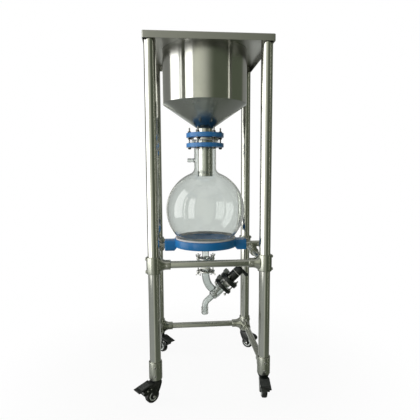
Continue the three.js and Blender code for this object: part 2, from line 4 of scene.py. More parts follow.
import bmesh
import bpy
import numpy as np
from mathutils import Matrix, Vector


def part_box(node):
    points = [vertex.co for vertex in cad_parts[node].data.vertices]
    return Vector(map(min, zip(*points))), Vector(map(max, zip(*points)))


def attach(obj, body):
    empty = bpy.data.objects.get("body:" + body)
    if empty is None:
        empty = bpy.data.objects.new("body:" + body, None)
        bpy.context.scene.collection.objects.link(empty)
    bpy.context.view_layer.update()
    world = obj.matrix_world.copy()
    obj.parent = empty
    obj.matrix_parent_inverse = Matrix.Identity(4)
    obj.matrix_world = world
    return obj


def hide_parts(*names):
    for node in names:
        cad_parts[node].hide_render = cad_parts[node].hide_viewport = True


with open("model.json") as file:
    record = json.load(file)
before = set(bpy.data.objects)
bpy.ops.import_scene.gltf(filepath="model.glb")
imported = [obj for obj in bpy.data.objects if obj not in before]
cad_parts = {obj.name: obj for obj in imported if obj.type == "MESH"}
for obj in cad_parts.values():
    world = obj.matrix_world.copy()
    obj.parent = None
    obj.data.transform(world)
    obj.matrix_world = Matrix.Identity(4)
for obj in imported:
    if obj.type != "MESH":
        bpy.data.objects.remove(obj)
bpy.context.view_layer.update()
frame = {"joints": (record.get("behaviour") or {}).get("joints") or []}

# A wheeled vacuum filtration stand: a steel filter funnel in the top plate of a tube frame drains
# into a round glass receiver in a blue ring, and a glass drain valve hangs below. Metres, +Z up.

UP = np.array([0.0, 0.0, 1.0])
RIGHT = np.array([1.0, 0.0, 0.0])
BACK = np.array([0.0, 1.0, 0.0])
FULL_TURN = 2 * math.pi


def span(node):
    """A node's lowest and highest corners and its middle, as arrays."""
    low, high = (np.array(corner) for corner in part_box(node))
    return low, high, (low + high) / 2


def round_size(node):
    """The radius of an upright round node, and its lowest and highest point."""
    low, high, _ = span(node)
    return (high[0] - low[0]) / 2, low[2], high[2]


def heights(node):
    return round_size(node)[1:]


def foot_of(node):
    """The point on the floor under a node's middle."""
    return span(node)[2] * [1, 1, 0]


def joint(name):
    """Where a joint's axis passes, if the record says, and the axis's direction."""
    found = next(one for one in frame["joints"] if one["name"] == name)
    axis = np.array(found["axis"], float)
    return np.array(found.get("pos_m", [0, 0, 0]), float), axis / np.linalg.norm(axis)


# ---------------------------------------------------------------- driving dimensions
SIDES = {"left": -1, "right": 1}
CORNERS = {"front_left": (-1, -1), "front_right": (1, -1), "rear_left": (-1, 1), "rear_right": (1, 1)}
BRAKED = ("front_left", "front_right", "rear_left")

CENTRE = np.array([*span("funnel_body")[2][:2], 0.0])  # the funnel's own upright axis
POST_WALL = 0.002
RAIL_WALL = 0.0016

PLATE_THICK = 0.002
PLATE_BEND = 0.004
PLATE_HOLE = 0.2062

BARREL_RADIUS = 0.205
BARREL_WALL = 0.002
BARREL_FOOT = 1.370  # height of the seam between barrel and cone
CONE_FOOT = 1.254
SPOUT_RADIUS = 0.038
SPOUT_WALL = 0.0015
LEDGE_RADIUS = 0.190
LEDGE_TOP = 1.378
DISC_RADIUS = 0.0685
DISC_LOW, DISC_HIGH = 1.199, 1.2092

MID_SLEEVE, MID_HALF, LOW_SLEEVE = 0.032, 0.038, 0.030
LEG_RADIUS, LEG_REACH, LEG_BORE_START = 0.022, 0.075, 0.037
LEG_ROOT, LEG_FLARE_START, LEG_FLARE_END = 0.0365, 0.026, 0.056
POST_BORE, RAIL_BORE, ARM_BORE = 0.0258, 0.0164, 0.0104
CUT_EDGE = 0.0001  # the rims of a tool that only cuts

BULB_CENTRE, BULB_RADIUS, GLASS_WALL = 0.852, 0.196, 0.005
NECK_RADIUS, NECK_BEAD, NECK_BEAD_LOW = 0.055, 0.067, 1.1823
OUTLET_RADIUS, OUTLET_WALL, OUTLET_BEAD = 0.018, 0.0035, 0.026
NOZZLE_HEIGHT, NOZZLE_BORE = 1.099, 0.007

BOLT_RADIUS, NUT_RADIUS = 0.004, 0.0082

WHEEL_TRAIL, WHEEL_RADIUS = 0.022, 0.033
HUB_INNER, HUB_OUTER = 0.016, 0.021
FORK_HALF, SLOT_HALF, SLOT_RADIUS = 0.020, 0.015, 0.0365


# ---------------------------------------------------------------- shapes
# A shape is (points, faces): an array of points, and a list of arrays with one face in each row.
def unit(vector):
    return vector / np.linalg.norm(vector, axis=-1, keepdims=True)


def placed(points, origin, axis, side):
    """Local x along side, z along axis and y square to both, moved to the origin given."""
    z = unit(np.asarray(axis, float))
    x = np.asarray(side, float)
    if abs(unit(x) @ z) > 0.99:
        x = BACK if abs(z[1]) < 0.9 else UP
    x = unit(x - (x @ z) * z)
    y = np.cross(z, x)
    return origin + points[..., :1] * x + points[..., 1:2] * y + points[..., 2:3] * z


def grid(points, wrap_rows=False):
    """Joins neighbours in a grid of points with four-sided faces. Each row is a ring."""
    rows, columns = points.shape[:2]
    index = np.arange(rows * columns).reshape(rows, columns)
    if wrap_rows:
        index = np.vstack([index, index[:1]])
    index = np.hstack([index, index[:, :1]])
    faces = np.stack([index[:-1, :-1], index[:-1, 1:], index[1:, 1:], index[1:, :-1]], -1)
    return points.reshape(-1, 3), [faces.reshape(-1, 4)]


def joined(*shapes):
    """Several shapes as one, each one's faces counted on from the points before it."""
    starts = np.cumsum([0] + [len(points) for points, _ in shapes])
    faces = [face + start for (_, group), start in zip(shapes, starts) for face in group]
    return np.vstack([points for points, _ in shapes]), faces


def eased(corners, bend, steps=5, closed=True):
    """Rounds each corner with a parabola between the points that lie the bend's length before and
    after it: (1-t)^2 A + 2t(1-t) corner + t^2 B. An open line keeps its ends."""
    corners = np.asarray(corners, float)
    before, after = np.roll(corners, 1, 0) - corners, np.roll(corners, -1, 0) - corners
    bend = np.broadcast_to(np.asarray(bend, float), (len(corners),))
    reach = [np.linalg.norm(side, axis=1) for side in (before, after)]
    first = corners + unit(before) * np.minimum(bend, 0.48 * reach[0])[:, None]
    last = corners + unit(after) * np.minimum(bend, 0.48 * reach[1])[:, None]
    t = np.linspace(0, 1, steps)[None, :, None]
    curve = (1 - t) ** 2 * first[:, None] + 2 * t * (1 - t) * corners[:, None] + t**2 * last[:, None]
    if closed:
        return curve.reshape(-1, corners.shape[1])
    inner = curve[1:-1].reshape(-1, corners.shape[1])
    return np.vstack([corners[:1], inner, corners[-1:]])


def arc(middle, radius, start, end, steps):
    """Points on a circle, from one angle in degrees to another."""
    angle = np.radians(np.linspace(start, end, steps))
    return np.asarray(middle) + radius * np.stack([np.cos(angle), np.sin(angle)], 1)


def around(segments):
    """Angles evenly spaced over a full turn."""
    return np.linspace(0, FULL_TURN, segments, endpoint=False)


def spun(reach, height, turn, origin, axis=UP, side=RIGHT, closed=False):
    """Rings of points about an axis, one for each height: (reach cos turn, reach sin turn, height)."""
    rings = np.stack([reach * np.cos(turn), reach * np.sin(turn), height + 0 * turn], -1)
    return grid(placed(rings, origin, axis, side), wrap_rows=closed)


def turned(profile, origin, axis=UP, segments=48, closed=False, side=RIGHT):
    """Surface of revolution: every (radius, height) point of the profile runs round the axis. An open
    profile starts and ends on the axis, and a closed one leaves a bore."""
    profile = np.asarray(profile, float)
    return spun(profile[:, :1], profile[:, 1:], around(segments), origin, axis, side, closed)


def hoop(profile, segments=160):
    """A closed outline turned about the funnel's own axis."""
    return turned(profile, CENTRE, segments=segments, closed=True)


def plug(radius, low, high):
    """The outline of a solid round bar, from the axis out and back to it."""
    return [(0, low), (radius, low), (radius, high), (0, high)]


def disc_profile(radius, low, high, edge):
    """The outline of a solid round bar with eased rims."""
    return eased(plug(radius, low, high), edge, closed=False)


def bar(radius, start, end, edge, segments=32):
    """A solid round bar between two points."""
    length = np.linalg.norm(end - start)
    return turned(disc_profile(radius, 0, length, edge), start, end - start, segments)


def ring_profile(inner, outer, low, high, edge):
    """The outline of a ring, with eased rims."""
    return eased([(inner, low), (outer, low), (outer, high), (inner, high)], edge, steps=4)


def inset(outline, distance):
    """Moves every side of a closed outline inwards, by shifting its points along their normals."""
    before = unit(outline - np.roll(outline, 1, 0))
    after = unit(np.roll(outline, -1, 0) - outline)
    turn = unit(before + after)
    inward = np.stack([-turn[:, 1], turn[:, 0]], 1)
    x, y = outline.T
    area = np.sum(x * np.roll(y, -1) - np.roll(x, -1) * y)
    return outline + math.copysign(distance, area) * inward


def ended(points, faces, count):
    """Closes a grid's first and last rows, of that many points each, with a flat face."""
    ends = [np.arange(count)[None, ::-1], np.arange(len(points) - count, len(points))[None]]
    return points, faces + ends


def prism(outline, low, high, edge, origin, axis=UP, side=RIGHT):
    """An outline carried straight along the axis, with quarter-round rims at both ends."""
    turn = np.linspace(0, math.pi / 2, 4)
    shrink = edge * (1 - np.sin(turn))
    lift = edge * (1 - np.cos(turn))
    levels = np.concatenate([low + lift, high - lift[::-1]])
    insets = np.concatenate([shrink, shrink[::-1]])
    rings = np.stack([
        np.column_stack([inset(outline, by), np.full(len(outline), level)])
        for by, level in zip(insets, levels)
    ])
    return ended(*grid(placed(rings, origin, axis, side)), len(outline))


def tube_along(path, radius, side, segments):
    """A round section carried along a flat path, with one axis of the section square to its plane.
    The radius may change along the path."""
    path = np.asarray(path, float)
    forward = unit(np.gradient(path, axis=0))
    across = np.cross(forward, side)
    turn = around(segments)
    radius = np.broadcast_to(radius, (len(path),))[:, None, None]
    spokes = across[:, None] * np.cos(turn)[None, :, None] + side * np.sin(turn)[None, :, None]
    return ended(*grid(path[:, None] + radius * spokes), segments)


def block(first, last, more):
    """A block between two opposite corners, with something more at both: a rectangle carried up."""
    low, high = np.sort(np.stack([first, last]), 0)
    (x0, y0, z0), (x1, y1, z1) = low - more, high + more
    outline = np.array([(x0, y0), (x1, y0), (x1, y1), (x0, y1)])
    return prism(outline, z0, z1, 1e-5, np.zeros(3))


def nut(radius, low, high, origin, axis=UP, side=RIGHT):
    """A hexagon through six points of a circle, with barely rounded corners and eased rims."""
    hexagon = eased(arc((0, 0), radius, 0, 300, 6), 0.0006, 3)
    return prism(hexagon, low, high, 0.0007, origin, axis, side)


def threaded_rod(radius, low, high, origin, axis=UP, pitch=0.00125, depth=0.0006):
    """A screw: the radius swings with cos(2 pi height / pitch - angle), so its crest climbs round."""
    rows = max(8, int((high - low) / pitch * 5))
    height = np.linspace(low, high, rows)[:, None]
    turn = around(12)
    reach = radius - depth * (0.5 - 0.5 * np.cos(FULL_TURN * height / pitch - turn))
    reach[[0, -1]] = 0
    return spun(reach, height, turn, origin, axis)


def scratch_object(shape, name):
    mesh = bpy.data.meshes.new(name)
    points, faces = shape
    mesh.from_pydata(points.tolist(), [], [face for group in faces for face in group.tolist()])
    work = bmesh.new()
    work.from_mesh(mesh)
    bmesh.ops.remove_doubles(work, verts=work.verts, dist=2e-6)
    bmesh.ops.recalc_face_normals(work, faces=work.faces)
    work.to_mesh(mesh)
    work.free()
    thing = bpy.data.objects.new(name, mesh)
    bpy.context.scene.collection.objects.link(thing)
    return thing


def carved(added, removed):
    """One solid from shapes that are joined and shapes that are cut away."""
    things = [scratch_object(shape, "scratch") for shape in [*added, *removed]]
    for i, tool in enumerate(things[1:], 1):
        cut = things[0].modifiers.new("cut", "BOOLEAN")
        cut.operation = "UNION" if i < len(added) else "DIFFERENCE"
        cut.solver = "MANIFOLD"
        cut.object = tool
    graph = bpy.context.evaluated_depsgraph_get()
    mesh = things[0].evaluated_get(graph).to_mesh()
    points = np.empty((len(mesh.vertices), 3))
    mesh.vertices.foreach_get("co", points.ravel())
    count = len(mesh.polygons)
    starts, totals = np.empty(count, int), np.empty(count, int)
    mesh.polygons.foreach_get("loop_start", starts)
    mesh.polygons.foreach_get("loop_total", totals)
    corners = np.empty(len(mesh.loops), int)
    mesh.loops.foreach_get("vertex_index", corners)
    faces = [
        corners[starts[totals == sides][:, None] + np.arange(sides)] for sides in np.unique(totals)
    ]
    for thing in things:
        bpy.data.objects.remove(thing)
    return points, faces


def piece(name, shape, material, stands_for=None, crease=38, body="frame"):
    """Makes a shape an object with smooth faces that break at edges sharper than the crease angle. It
    may stand for a CAD node."""
    thing = scratch_object(shape, name)
    mesh = thing.data
    mesh.polygons.foreach_set("use_smooth", np.ones(len(mesh.polygons), bool))
    mesh.set_sharp_from_angle(angle=math.radians(crease))
    mesh.materials.append(material)
    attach(thing, body)
    if stands_for:
        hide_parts(stands_for)
    return thing


# ---------------------------------------------------------------- shader language
class Value:
    """A node's output that Python's operators extend with Math nodes."""

    def __init__(self, graph, socket):
        self.graph, self.socket = graph, socket

    def __add__(self, other): return self.graph.number("ADD", self, other)
    def __radd__(self, other): return self.graph.number("ADD", other, self)
    def __sub__(self, other): return self.graph.number("SUBTRACT", self, other)
    def __mul__(self, other): return self.graph.number("MULTIPLY", self, other)
    def __rmul__(self, other): return self.graph.number("MULTIPLY", other, self)


class Graph:
    """The nodes of one material or of the world."""

    def __init__(self, owner):
        owner.use_nodes = True
        self.tree = owner.node_tree
        self.tree.nodes.clear()

    def node(self, kind, settings=(), inputs=(), output=0):
        """Adds a node with its settings, and its sockets' values or links by place or name."""
        made = self.tree.nodes.new(kind)
        for key, value in dict(settings).items():
            setattr(made, key, value)
        pairs = inputs.items() if isinstance(inputs, dict) else enumerate(inputs)
        for key, value in pairs:
            if isinstance(value, Value):
                self.tree.links.new(value.socket, made.inputs[key])
            else:
                made.inputs[key].default_value = value
        return Value(self, made.outputs[output])

    def number(self, operation, *inputs):
        return self.node("ShaderNodeMath", {"operation": operation}, inputs)

    def vector(self, operation, *inputs, output=0):
        return self.node("ShaderNodeVectorMath", {"operation": operation}, inputs, output)

    def object_place(self, middle=(0, 0, 0), scale=(1, 1, 1)):
        """Object coordinates, centred on a point and stretched."""
        place = self.node("ShaderNodeTexCoord", output="Object")
        return self.vector("MULTIPLY", self.vector("SUBTRACT", place, tuple(middle)), tuple(scale))

    def round_place(self, middle, scale):
        """Coordinates of a turned surface: distance from the upright axis, and height, each scaled."""
        place = self.object_place(middle)
        out = self.vector("LENGTH", self.vector("MULTIPLY", place, (1, 1, 0)), output="Value")
        height = self.node("ShaderNodeSeparateXYZ", (), [place], "Z")
        return self.node("ShaderNodeCombineXYZ", (), [out * scale, height * scale, 0.0])

    def noise(self, place, scale, detail, rough=0.55):
        inputs = {"Vector": place, "Scale": scale, "Detail": detail, "Roughness": rough}
        return self.node("ShaderNodeTexNoise", (), inputs)

    def mix(self, factor, first, second, blend="MIX"):
        """A colour between two colours."""
        return self.node(
            "ShaderNodeMix", {"data_type": "RGBA", "clamp_factor": True, "blend_type": blend},
            {0: factor, 6: first, 7: second}, 2)

    def smooth(self, value, low, high, start=0.0, end=1.0):
        """Rises softly from start to end while the value goes from low to high."""
        settings = {"interpolation_type": "SMOOTHSTEP"}
        return self.node("ShaderNodeMapRange", settings, [value, low, high, start, end])

    def bump(self, height):
        """Tilts the surface as if it rose by the height, in metres."""
        return self.node("ShaderNodeBump", (), {"Height": height, "Distance": 1.0, "Strength": 1.0})

    def output(self, shader, kind="ShaderNodeOutputMaterial"):
        made = self.tree.nodes.new(kind)
        self.tree.links.new(shader.socket, made.inputs["Surface"])

    def principled(self, inputs):
        """Closes a material with a Principled shader."""
        self.output(self.node("ShaderNodeBsdfPrincipled", (), inputs))


def new_material(name):
    material = bpy.data.materials.new(name)
    return material, Graph(material)


def rgb(red, green, blue):
    return (red, green, blue, 1.0)


# ---------------------------------------------------------------- materials
def steel(name, colour, roughness, grain, smear, waves=0.0, wave_scale=9.0):
    """Stainless steel with polishing lines along the grain, faint stains and, if asked, slow waves."""
    material, graph = new_material(name)
    place = graph.object_place()
    lines = graph.noise(graph.object_place(scale=grain), 1.0, 3.0)
    stains = graph.noise(place, 6.0, 5.0, 0.6)
    worn = graph.smooth(stains, 0.5, 0.72)
    dark = rgb(*(0.82 * part for part in colour))
    tint = graph.mix(0.35 * lines + 0.4 * worn, rgb(*colour), dark)
    shine = roughness + smear * (lines - 0.5) + smear * worn
    height = lines * 0.00002
    if waves:
        height = height + waves * graph.noise(place, wave_scale, 1.0)
    graph.principled({
        "Base Color": tint, "Metallic": 1.0, "Roughness": shine,
        "Normal": graph.bump(height),
    })
    return material


def turned_steel(name, colour, roughness, smear, waves=0.0, stretch=0.0):
    """Stainless steel polished on a lathe: fine rings round the upright axis, and slow dents."""
    material, graph = new_material(name)
    place = graph.object_place(CENTRE)
    rings = graph.noise(graph.round_place(CENTRE, 700.0), 1.0, 2.0)
    stains = graph.noise(place, 7.0, 5.0, 0.6)
    worn = graph.smooth(stains, 0.5, 0.75)
    dark = rgb(*(0.8 * part for part in colour))
    tint = graph.mix(0.3 * rings + 0.4 * worn, rgb(*colour), dark)
    shine = roughness + smear * (rings - 0.5) + 0.5 * smear * worn
    height = rings * 0.000015 + waves * graph.noise(place, 11.0, 1.0)
    graph.principled({
        "Base Color": tint, "Metallic": 1.0, "Roughness": shine, "Anisotropic": stretch,
        "Anisotropic Rotation": 0.25, "Normal": graph.bump(height),
    })
    return material


def coated(name, colour, worn_colour, roughness):
    """Powder coat: a slightly pebbled skin, paler where it is rubbed."""
    material, graph = new_material(name)
    place = graph.object_place()
    pebbles = graph.noise(place, 650.0, 2.0)
    patches = graph.smooth(graph.noise(place, 18.0, 4.0), 0.48, 0.75)
    graph.principled({
        "Base Color": graph.mix(patches * 0.5, rgb(*colour), rgb(*worn_colour)),
        "Roughness": roughness + 0.15 * patches, "Coat Weight": 0.15, "Coat Roughness": 0.15,
        "Normal": graph.bump(pebbles * 0.00006),
    })
    return material


def moulded(name, colour, dust_colour, roughness):
    """Moulded plastic or rubber: fine pitting, and dust that dulls it in patches."""
    material, graph = new_material(name)
    place = graph.object_place()
    pits = graph.noise(place, 900.0, 2.0)
    dust = graph.smooth(graph.noise(place, 35.0, 5.0, 0.65), 0.5, 0.8)
    graph.principled({
        "Base Color": graph.mix(dust * 0.6, rgb(*colour), rgb(*dust_colour)),
        "Roughness": roughness + 0.2 * dust + 0.05 * pits,
        "Normal": graph.bump(pits * 0.00004),
    })
    return material


def clear_glass(name, tint, haze, roughness=0.0):
    """Borosilicate glass: clear, with slow flow waves and a few cloudy smears."""
    material, graph = new_material(name)
    place = graph.object_place()
    smears = graph.smooth(graph.noise(place, 14.0, 5.0, 0.6), 0.55, 0.8)
    flow = graph.noise(graph.object_place(scale=(1, 1, 0.5)), 16.0, 1.0)
    graph.principled({
        "Base Color": graph.mix(smears * 0.5, rgb(*tint), rgb(*haze)),
        "Roughness": roughness + 0.02 * smears, "IOR": 1.47, "Transmission Weight": 1.0,
        "Normal": graph.bump(flow * 0.0002),
    })
    return material


CROSS = 900.0
POST_STEEL = steel("polished_tube_steel", (0.60, 0.60, 0.56), 0.10, (CROSS, CROSS, 3.0), 0.03, 2e-5)
RAIL_ALONG_X = steel("rail_steel_across", (0.47, 0.48, 0.43), 0.25, (3.0, CROSS, CROSS), 0.06)
RAIL_ALONG_Y = steel("rail_steel_deep", (0.47, 0.48, 0.43), 0.25, (CROSS, 3.0, CROSS), 0.06)
CAST_STEEL = steel("cast_clamp_steel", (0.42, 0.43, 0.38), 0.24, 3 * (300.0,), 0.08, 4e-5, 60.0)
PLATE_STEEL = steel("folded_sheet_steel", (0.42, 0.42, 0.39), 0.36, (4.0, CROSS, CROSS), 0.08)
FASTENER_STEEL = steel("fastener_steel", (0.55, 0.55, 0.53), 0.24, 3 * (500.0,), 0.08)
BARREL_STEEL = turned_steel("barrel_steel", (0.60, 0.60, 0.56), 0.20, 0.03, 3e-5, 0.9)
CONE_STEEL = turned_steel("cone_steel", (0.40, 0.42, 0.39), 0.24, 0.08, 0.0, 0.5)
SCREEN_STEEL = turned_steel("screen_steel", (0.58, 0.58, 0.56), 0.28, 0.08)
BLUE_RING = coated("blue_ring_coat", (0.001, 0.150, 0.42), (0.003, 0.19, 0.47), 0.38)
BLUE_FLANGE = coated("blue_flange_coat", (0.022, 0.17, 0.47), (0.06, 0.26, 0.55), 0.36)
GLASS = clear_glass("receiver_glass", (0.93, 0.95, 0.94), (0.86, 0.88, 0.87))
VALVE_GLASS = clear_glass("valve_glass", (0.80, 0.83, 0.82), (0.72, 0.75, 0.74), 0.10)
BLACK_GLOSS = moulded("black_moulding", (0.003, 0.005, 0.004), (0.010, 0.013, 0.012), 0.25)
BLACK_VALVE = moulded("black_valve_moulding", (0.003, 0.006, 0.006), (0.010, 0.014, 0.014), 0.28)
DARK_NUT = moulded("dark_nut", (0.012, 0.013, 0.012), (0.03, 0.032, 0.03), 0.35)
GREY_NUT = moulded("grey_hand_nut", (0.11, 0.12, 0.115), (0.16, 0.17, 0.16), 0.40)
PEDAL_PAD = moulded("pedal_pad", (0.030, 0.034, 0.033), (0.055, 0.06, 0.058), 0.42)
TYRE = moulded("tyre_rubber", (0.003, 0.003, 0.003), (0.012, 0.012, 0.012), 0.4)
HUB = moulded("hub_core", (0.55, 0.58, 0.57), (0.42, 0.43, 0.42), 0.35)
PTFE = moulded("white_sealing_plastic", (0.86, 0.86, 0.83), (0.74, 0.74, 0.70), 0.42)
SILICONE = moulded("silicone_trim", (0.62, 0.60, 0.62), (0.50, 0.48, 0.50), 0.35)


# ---------------------------------------------------------------- room
CAMERA_PLACE = CENTRE + np.array([-0.1513, -1.9465, 1.0560])
CAMERA_YAW, CAMERA_DROP, CAMERA_ROLL = 5.16, 6.05, 0.2
CAMERA_LENS = 33.2


def add_camera():
    data = bpy.data.cameras.new("camera")
    data.lens = CAMERA_LENS
    camera = bpy.data.objects.new("camera", data)
    camera.location = CAMERA_PLACE.tolist()
    camera.rotation_mode = "XYZ"
    camera.rotation_euler = (
        math.radians(90 - CAMERA_DROP), math.radians(CAMERA_ROLL), math.radians(-CAMERA_YAW))
    bpy.context.scene.collection.objects.link(camera)
    bpy.context.scene.camera = camera


# Each light field: where it starts and ends, in degrees round from the front towards the right; the
# softness of both those edges; its lowest and highest elevation; their softness; and its colour. Later
# fields lie over earlier ones.
ROOM_GREY = (0.26, 0.265, 0.25)
FIELDS = [
    ((0, 118), (14, 6), (-70, 60), 8, (0.11, 0.127, 0.09)),  # dim right side
    ((-33, -2), (3, 26), (-60, 60), 8, (0.86, 0.88, 0.75)),  # front wall
    ((-120, -10), (8, 8), (-75, -14), 6, (0.40, 0.42, 0.40)),  # lit floor under the windows
    ((64, 67), (1.2, 1.2), (-25, 60), 8, (1.7, 1.66, 1.45)),  # door's gap
    ((-106, -75), (2.5, 2.5), (-16, 44), 3, (3.2, 3.2, 3.15)),  # first window
    ((-70, -36), (2.5, 2.5), (-19, 34), 3, (3.2, 3.2, 3.1)),  # second window
]
REAR_WALL = (0.67, 0.69, 0.67)
CEILING = (0.60, 0.60, 0.58)


def add_room():
    """Daylight from tall windows on the left, a pale ceiling and a dim room elsewhere. The camera
    sees plain white behind the object, and nothing brighter than the rear wall through its glass."""
    world = bpy.data.worlds.new("room")
    bpy.context.scene.world = world
    graph = Graph(world)
    way = graph.node("ShaderNodeTexCoord", output="Generated")
    x, y, z = (graph.node("ShaderNodeSeparateXYZ", (), [way], part) for part in "XYZ")
    turn = graph.number("ARCTAN2", x, -1 * y) * (180 / math.pi)
    rise = graph.number("ARCSINE", z) * (180 / math.pi)
    light = rgb(*ROOM_GREY)
    for (left, right), (left_soft, right_soft), (low, high), soft, colour in FIELDS:
        beside = graph.smooth(turn, left - left_soft, left + left_soft)
        beside = beside * graph.smooth(turn, right - right_soft, right + right_soft, 1.0, 0.0)
        above = graph.smooth(rise, low - soft, low + soft)
        below = graph.smooth(rise, high - soft, high + soft, 1.0, 0.0)
        light = graph.mix(beside * above * below, light, rgb(*colour))
    off = graph.number("ABSOLUTE", turn)
    behind = graph.smooth(off, 148.0, 168.0) * graph.smooth(rise, 2.0, 14.0, 1.0, 0.0)
    light = graph.mix(behind, light, rgb(*REAR_WALL))
    light = graph.mix(graph.smooth(rise, 42.0, 62.0), light, rgb(*CEILING))
    path = lambda part: graph.node("ShaderNodeLightPath", output=part)
    unreflected = graph.number("LESS_THAN", path("Glossy Depth"), 0.5)
    through = path("Is Transmission Ray") * unreflected
    light = graph.mix(through, light, rgb(*REAR_WALL), "DARKEN")
    room = graph.node("ShaderNodeBackground", (), {"Color": light, "Strength": 1.0})
    white = graph.node("ShaderNodeBackground", (), {"Color": rgb(1, 1, 1), "Strength": 1.0})
    both = graph.node("ShaderNodeMixShader", (), [path("Is Camera Ray"), room, white])
    graph.output(both, "ShaderNodeOutputWorld")


def add_floor():
    """A pale round floor that thins out towards its rim: rings of points round the object's foot."""
    material, graph = new_material("floor")
    place = graph.object_place()
    out = graph.vector("LENGTH", place, output="Value")
    specks = graph.noise(place, 30.0, 3.0)
    graph.principled({
        "Base Color": graph.mix(specks, rgb(0.86, 0.86, 0.86), rgb(0.92, 0.92, 0.92)),
        "Roughness": 0.8, "Specular IOR Level": 0.2,
        "Alpha": graph.smooth(out, 0.45, 1.25, 0.07, 0.0),
    })
    radii = np.linspace(0, 1.3, 6)[:, None]
    floor = scratch_object(spun(radii, 0 * radii, around(64), np.zeros(3)), "floor")
    floor.data.materials.append(material)


# ---------------------------------------------------------------- frame
def add_top_plate():
    """A folded square sheet with a round hole. Its section runs from the hole over the top, round the
    fold and down the skirt, then back up inside. Each section point is a share of the hole's circle
    plus the rest of a rounded square that is set in by the section's own amount."""
    low, high, middle = span("top_plate")
    half = (high[0] - low[0]) / 2
    top, foot = high[2], low[2]
    thick, bend = PLATE_THICK, PLATE_BEND
    fold_out = arc((bend, top - bend), bend, 90, 180, 5)
    fold_in = arc((bend, top - bend), bend - thick, 180, 90, 5)
    section = np.vstack([
        [(0.055, top)], fold_out, [(0.0, foot + 0.0004), (0.0004, foot)],
        [(thick - 0.0004, foot), (thick, foot + 0.0004)], fold_in, [(0.055, top - thick)],
    ])
    corner = 0.006
    square = eased([(1, 1), (-1, 1), (-1, -1), (1, -1)], corner / half, 9)
    sides = np.vstack([
        np.linspace(square[i], square[(i + 1) % len(square)], 24, endpoint=False)
        for i in range(8, len(square), 9)
    ] + [square])
    sides = sides[np.argsort(np.arctan2(sides[:, 1], sides[:, 0]))]
    outer = np.stack([
        np.column_stack([sides * (half - by), np.full(len(sides), height)]) for by, height in section
    ])
    hole = np.column_stack([unit(sides) * PLATE_HOLE, np.zeros(len(sides))])
    rims = [hole + UP * top, hole + UP * (top - thick)]
    loops = np.concatenate([rims[:1], outer, rims[1:]])
    shape = grid(loops + [middle[0], middle[1], 0], wrap_rows=True)
    piece("top_plate_sheet", shape, PLATE_STEEL, "top_plate", 30)
    for name in CORNERS:
        foot = foot_of(f"post_{name}") + UP * top
        profile = eased([(0, 0), (0.0095, 0), (0.0088, 0.0045), (0.005, 0.0068), (0, 0.0068)], 0.0012,
                        closed=False)
        socket = turned(plug(0.0032, 0.0062, 0.0069), foot, UP, 6)
        shape = carved([turned(profile, foot, UP, 32)], [socket])
        piece(f"plate_bolt_{name}", shape, BLACK_GLOSS)


def add_posts():
    for name in CORNERS:
        node = f"post_{name}"
        radius, low, high = round_size(node)
        profile = ring_profile(radius - POST_WALL, radius, low, high, 0.0006)
        shape = turned(profile, foot_of(node), segments=72, closed=True)
        piece(f"post_tube_{name}", shape, POST_STEEL, node)


def leg(foot, way):
    """A clamp's leg: its height swells towards the sleeve as the square of a falling line, its width a
    third as much, and its mouth is eased."""
    along = np.linspace(LEG_FLARE_START, LEG_FLARE_END, 9)
    share = (LEG_FLARE_END - along) / (LEG_FLARE_END - LEG_FLARE_START)
    swell = LEG_RADIUS + (LEG_ROOT - LEG_RADIUS) * share**2
    mouth = arc((LEG_RADIUS - 0.0025, LEG_REACH - 0.0025), 0.0025, 0, 90, 5)
    profile = np.vstack([[(0, 0)], np.column_stack([swell, along]), mouth, [(0, LEG_REACH)]])
    segments = 48
    points, faces = turned(profile, foot, way, segments, side=UP)
    excess = np.clip(profile[:, 0] - LEG_RADIUS, 0, None) / LEG_ROOT
    across = np.cross(UP, way)
    aside = (points - foot) @ across * np.repeat(0.67 * excess, segments)
    return points - aside[:, None] * across, faces


def fastener(name, shape, body="frame"):
    """A steel fastener that only the visual model has."""
    piece(name, shape, FASTENER_STEEL, body=body)


def screw_head(place, way):
    """A small socket screw: a domed head with a six-sided hole in it."""
    radius, height = 0.0052, 0.003
    head = turned(disc_profile(radius, -0.002, height, 0.0012), place, way, 24)
    hole = turned(plug(radius * 0.5, height - 0.002, height + 0.001), place, way, 6)
    return carved([head], [hole])


def post_clamp(name, node, radius, low, high, ways, height, floor, split=None):
    """A cast sleeve with one leg for each rail, split along the legs' middle and, if asked, down one
    side."""
    foot = foot_of(node.replace("mid_clamp", "post").replace("low_clamp", "post"))
    middle = foot + UP * height
    added = [turned(disc_profile(radius, low, high, 0.0025), foot, UP, 64)]
    removed = [turned(plug(POST_BORE, low + floor, high + 0.01), foot, UP, 64)]
    if split is not None:
        removed.append(block(foot + split * 0.024 + UP * (low - 0.01),
                             foot + split * 0.040 + UP * (high + 0.01), BACK * 0.0012))
    for way in ways:
        added.append(leg(middle, way))
        start, end = middle + way * LEG_BORE_START, middle + way * (LEG_REACH + 0.01)
        removed.append(bar(RAIL_BORE, start, end, CUT_EDGE, 32))
        across = np.cross(UP, way)
        for side in (-1, 1):
            removed.append(block(middle + way * 0.026 + across * side * 0.0185,
                                 middle + way * 0.0755 + across * side * 0.045, UP * 0.0014))
    piece(name, carved(added, removed), CAST_STEEL, node, 32)
    return foot, middle


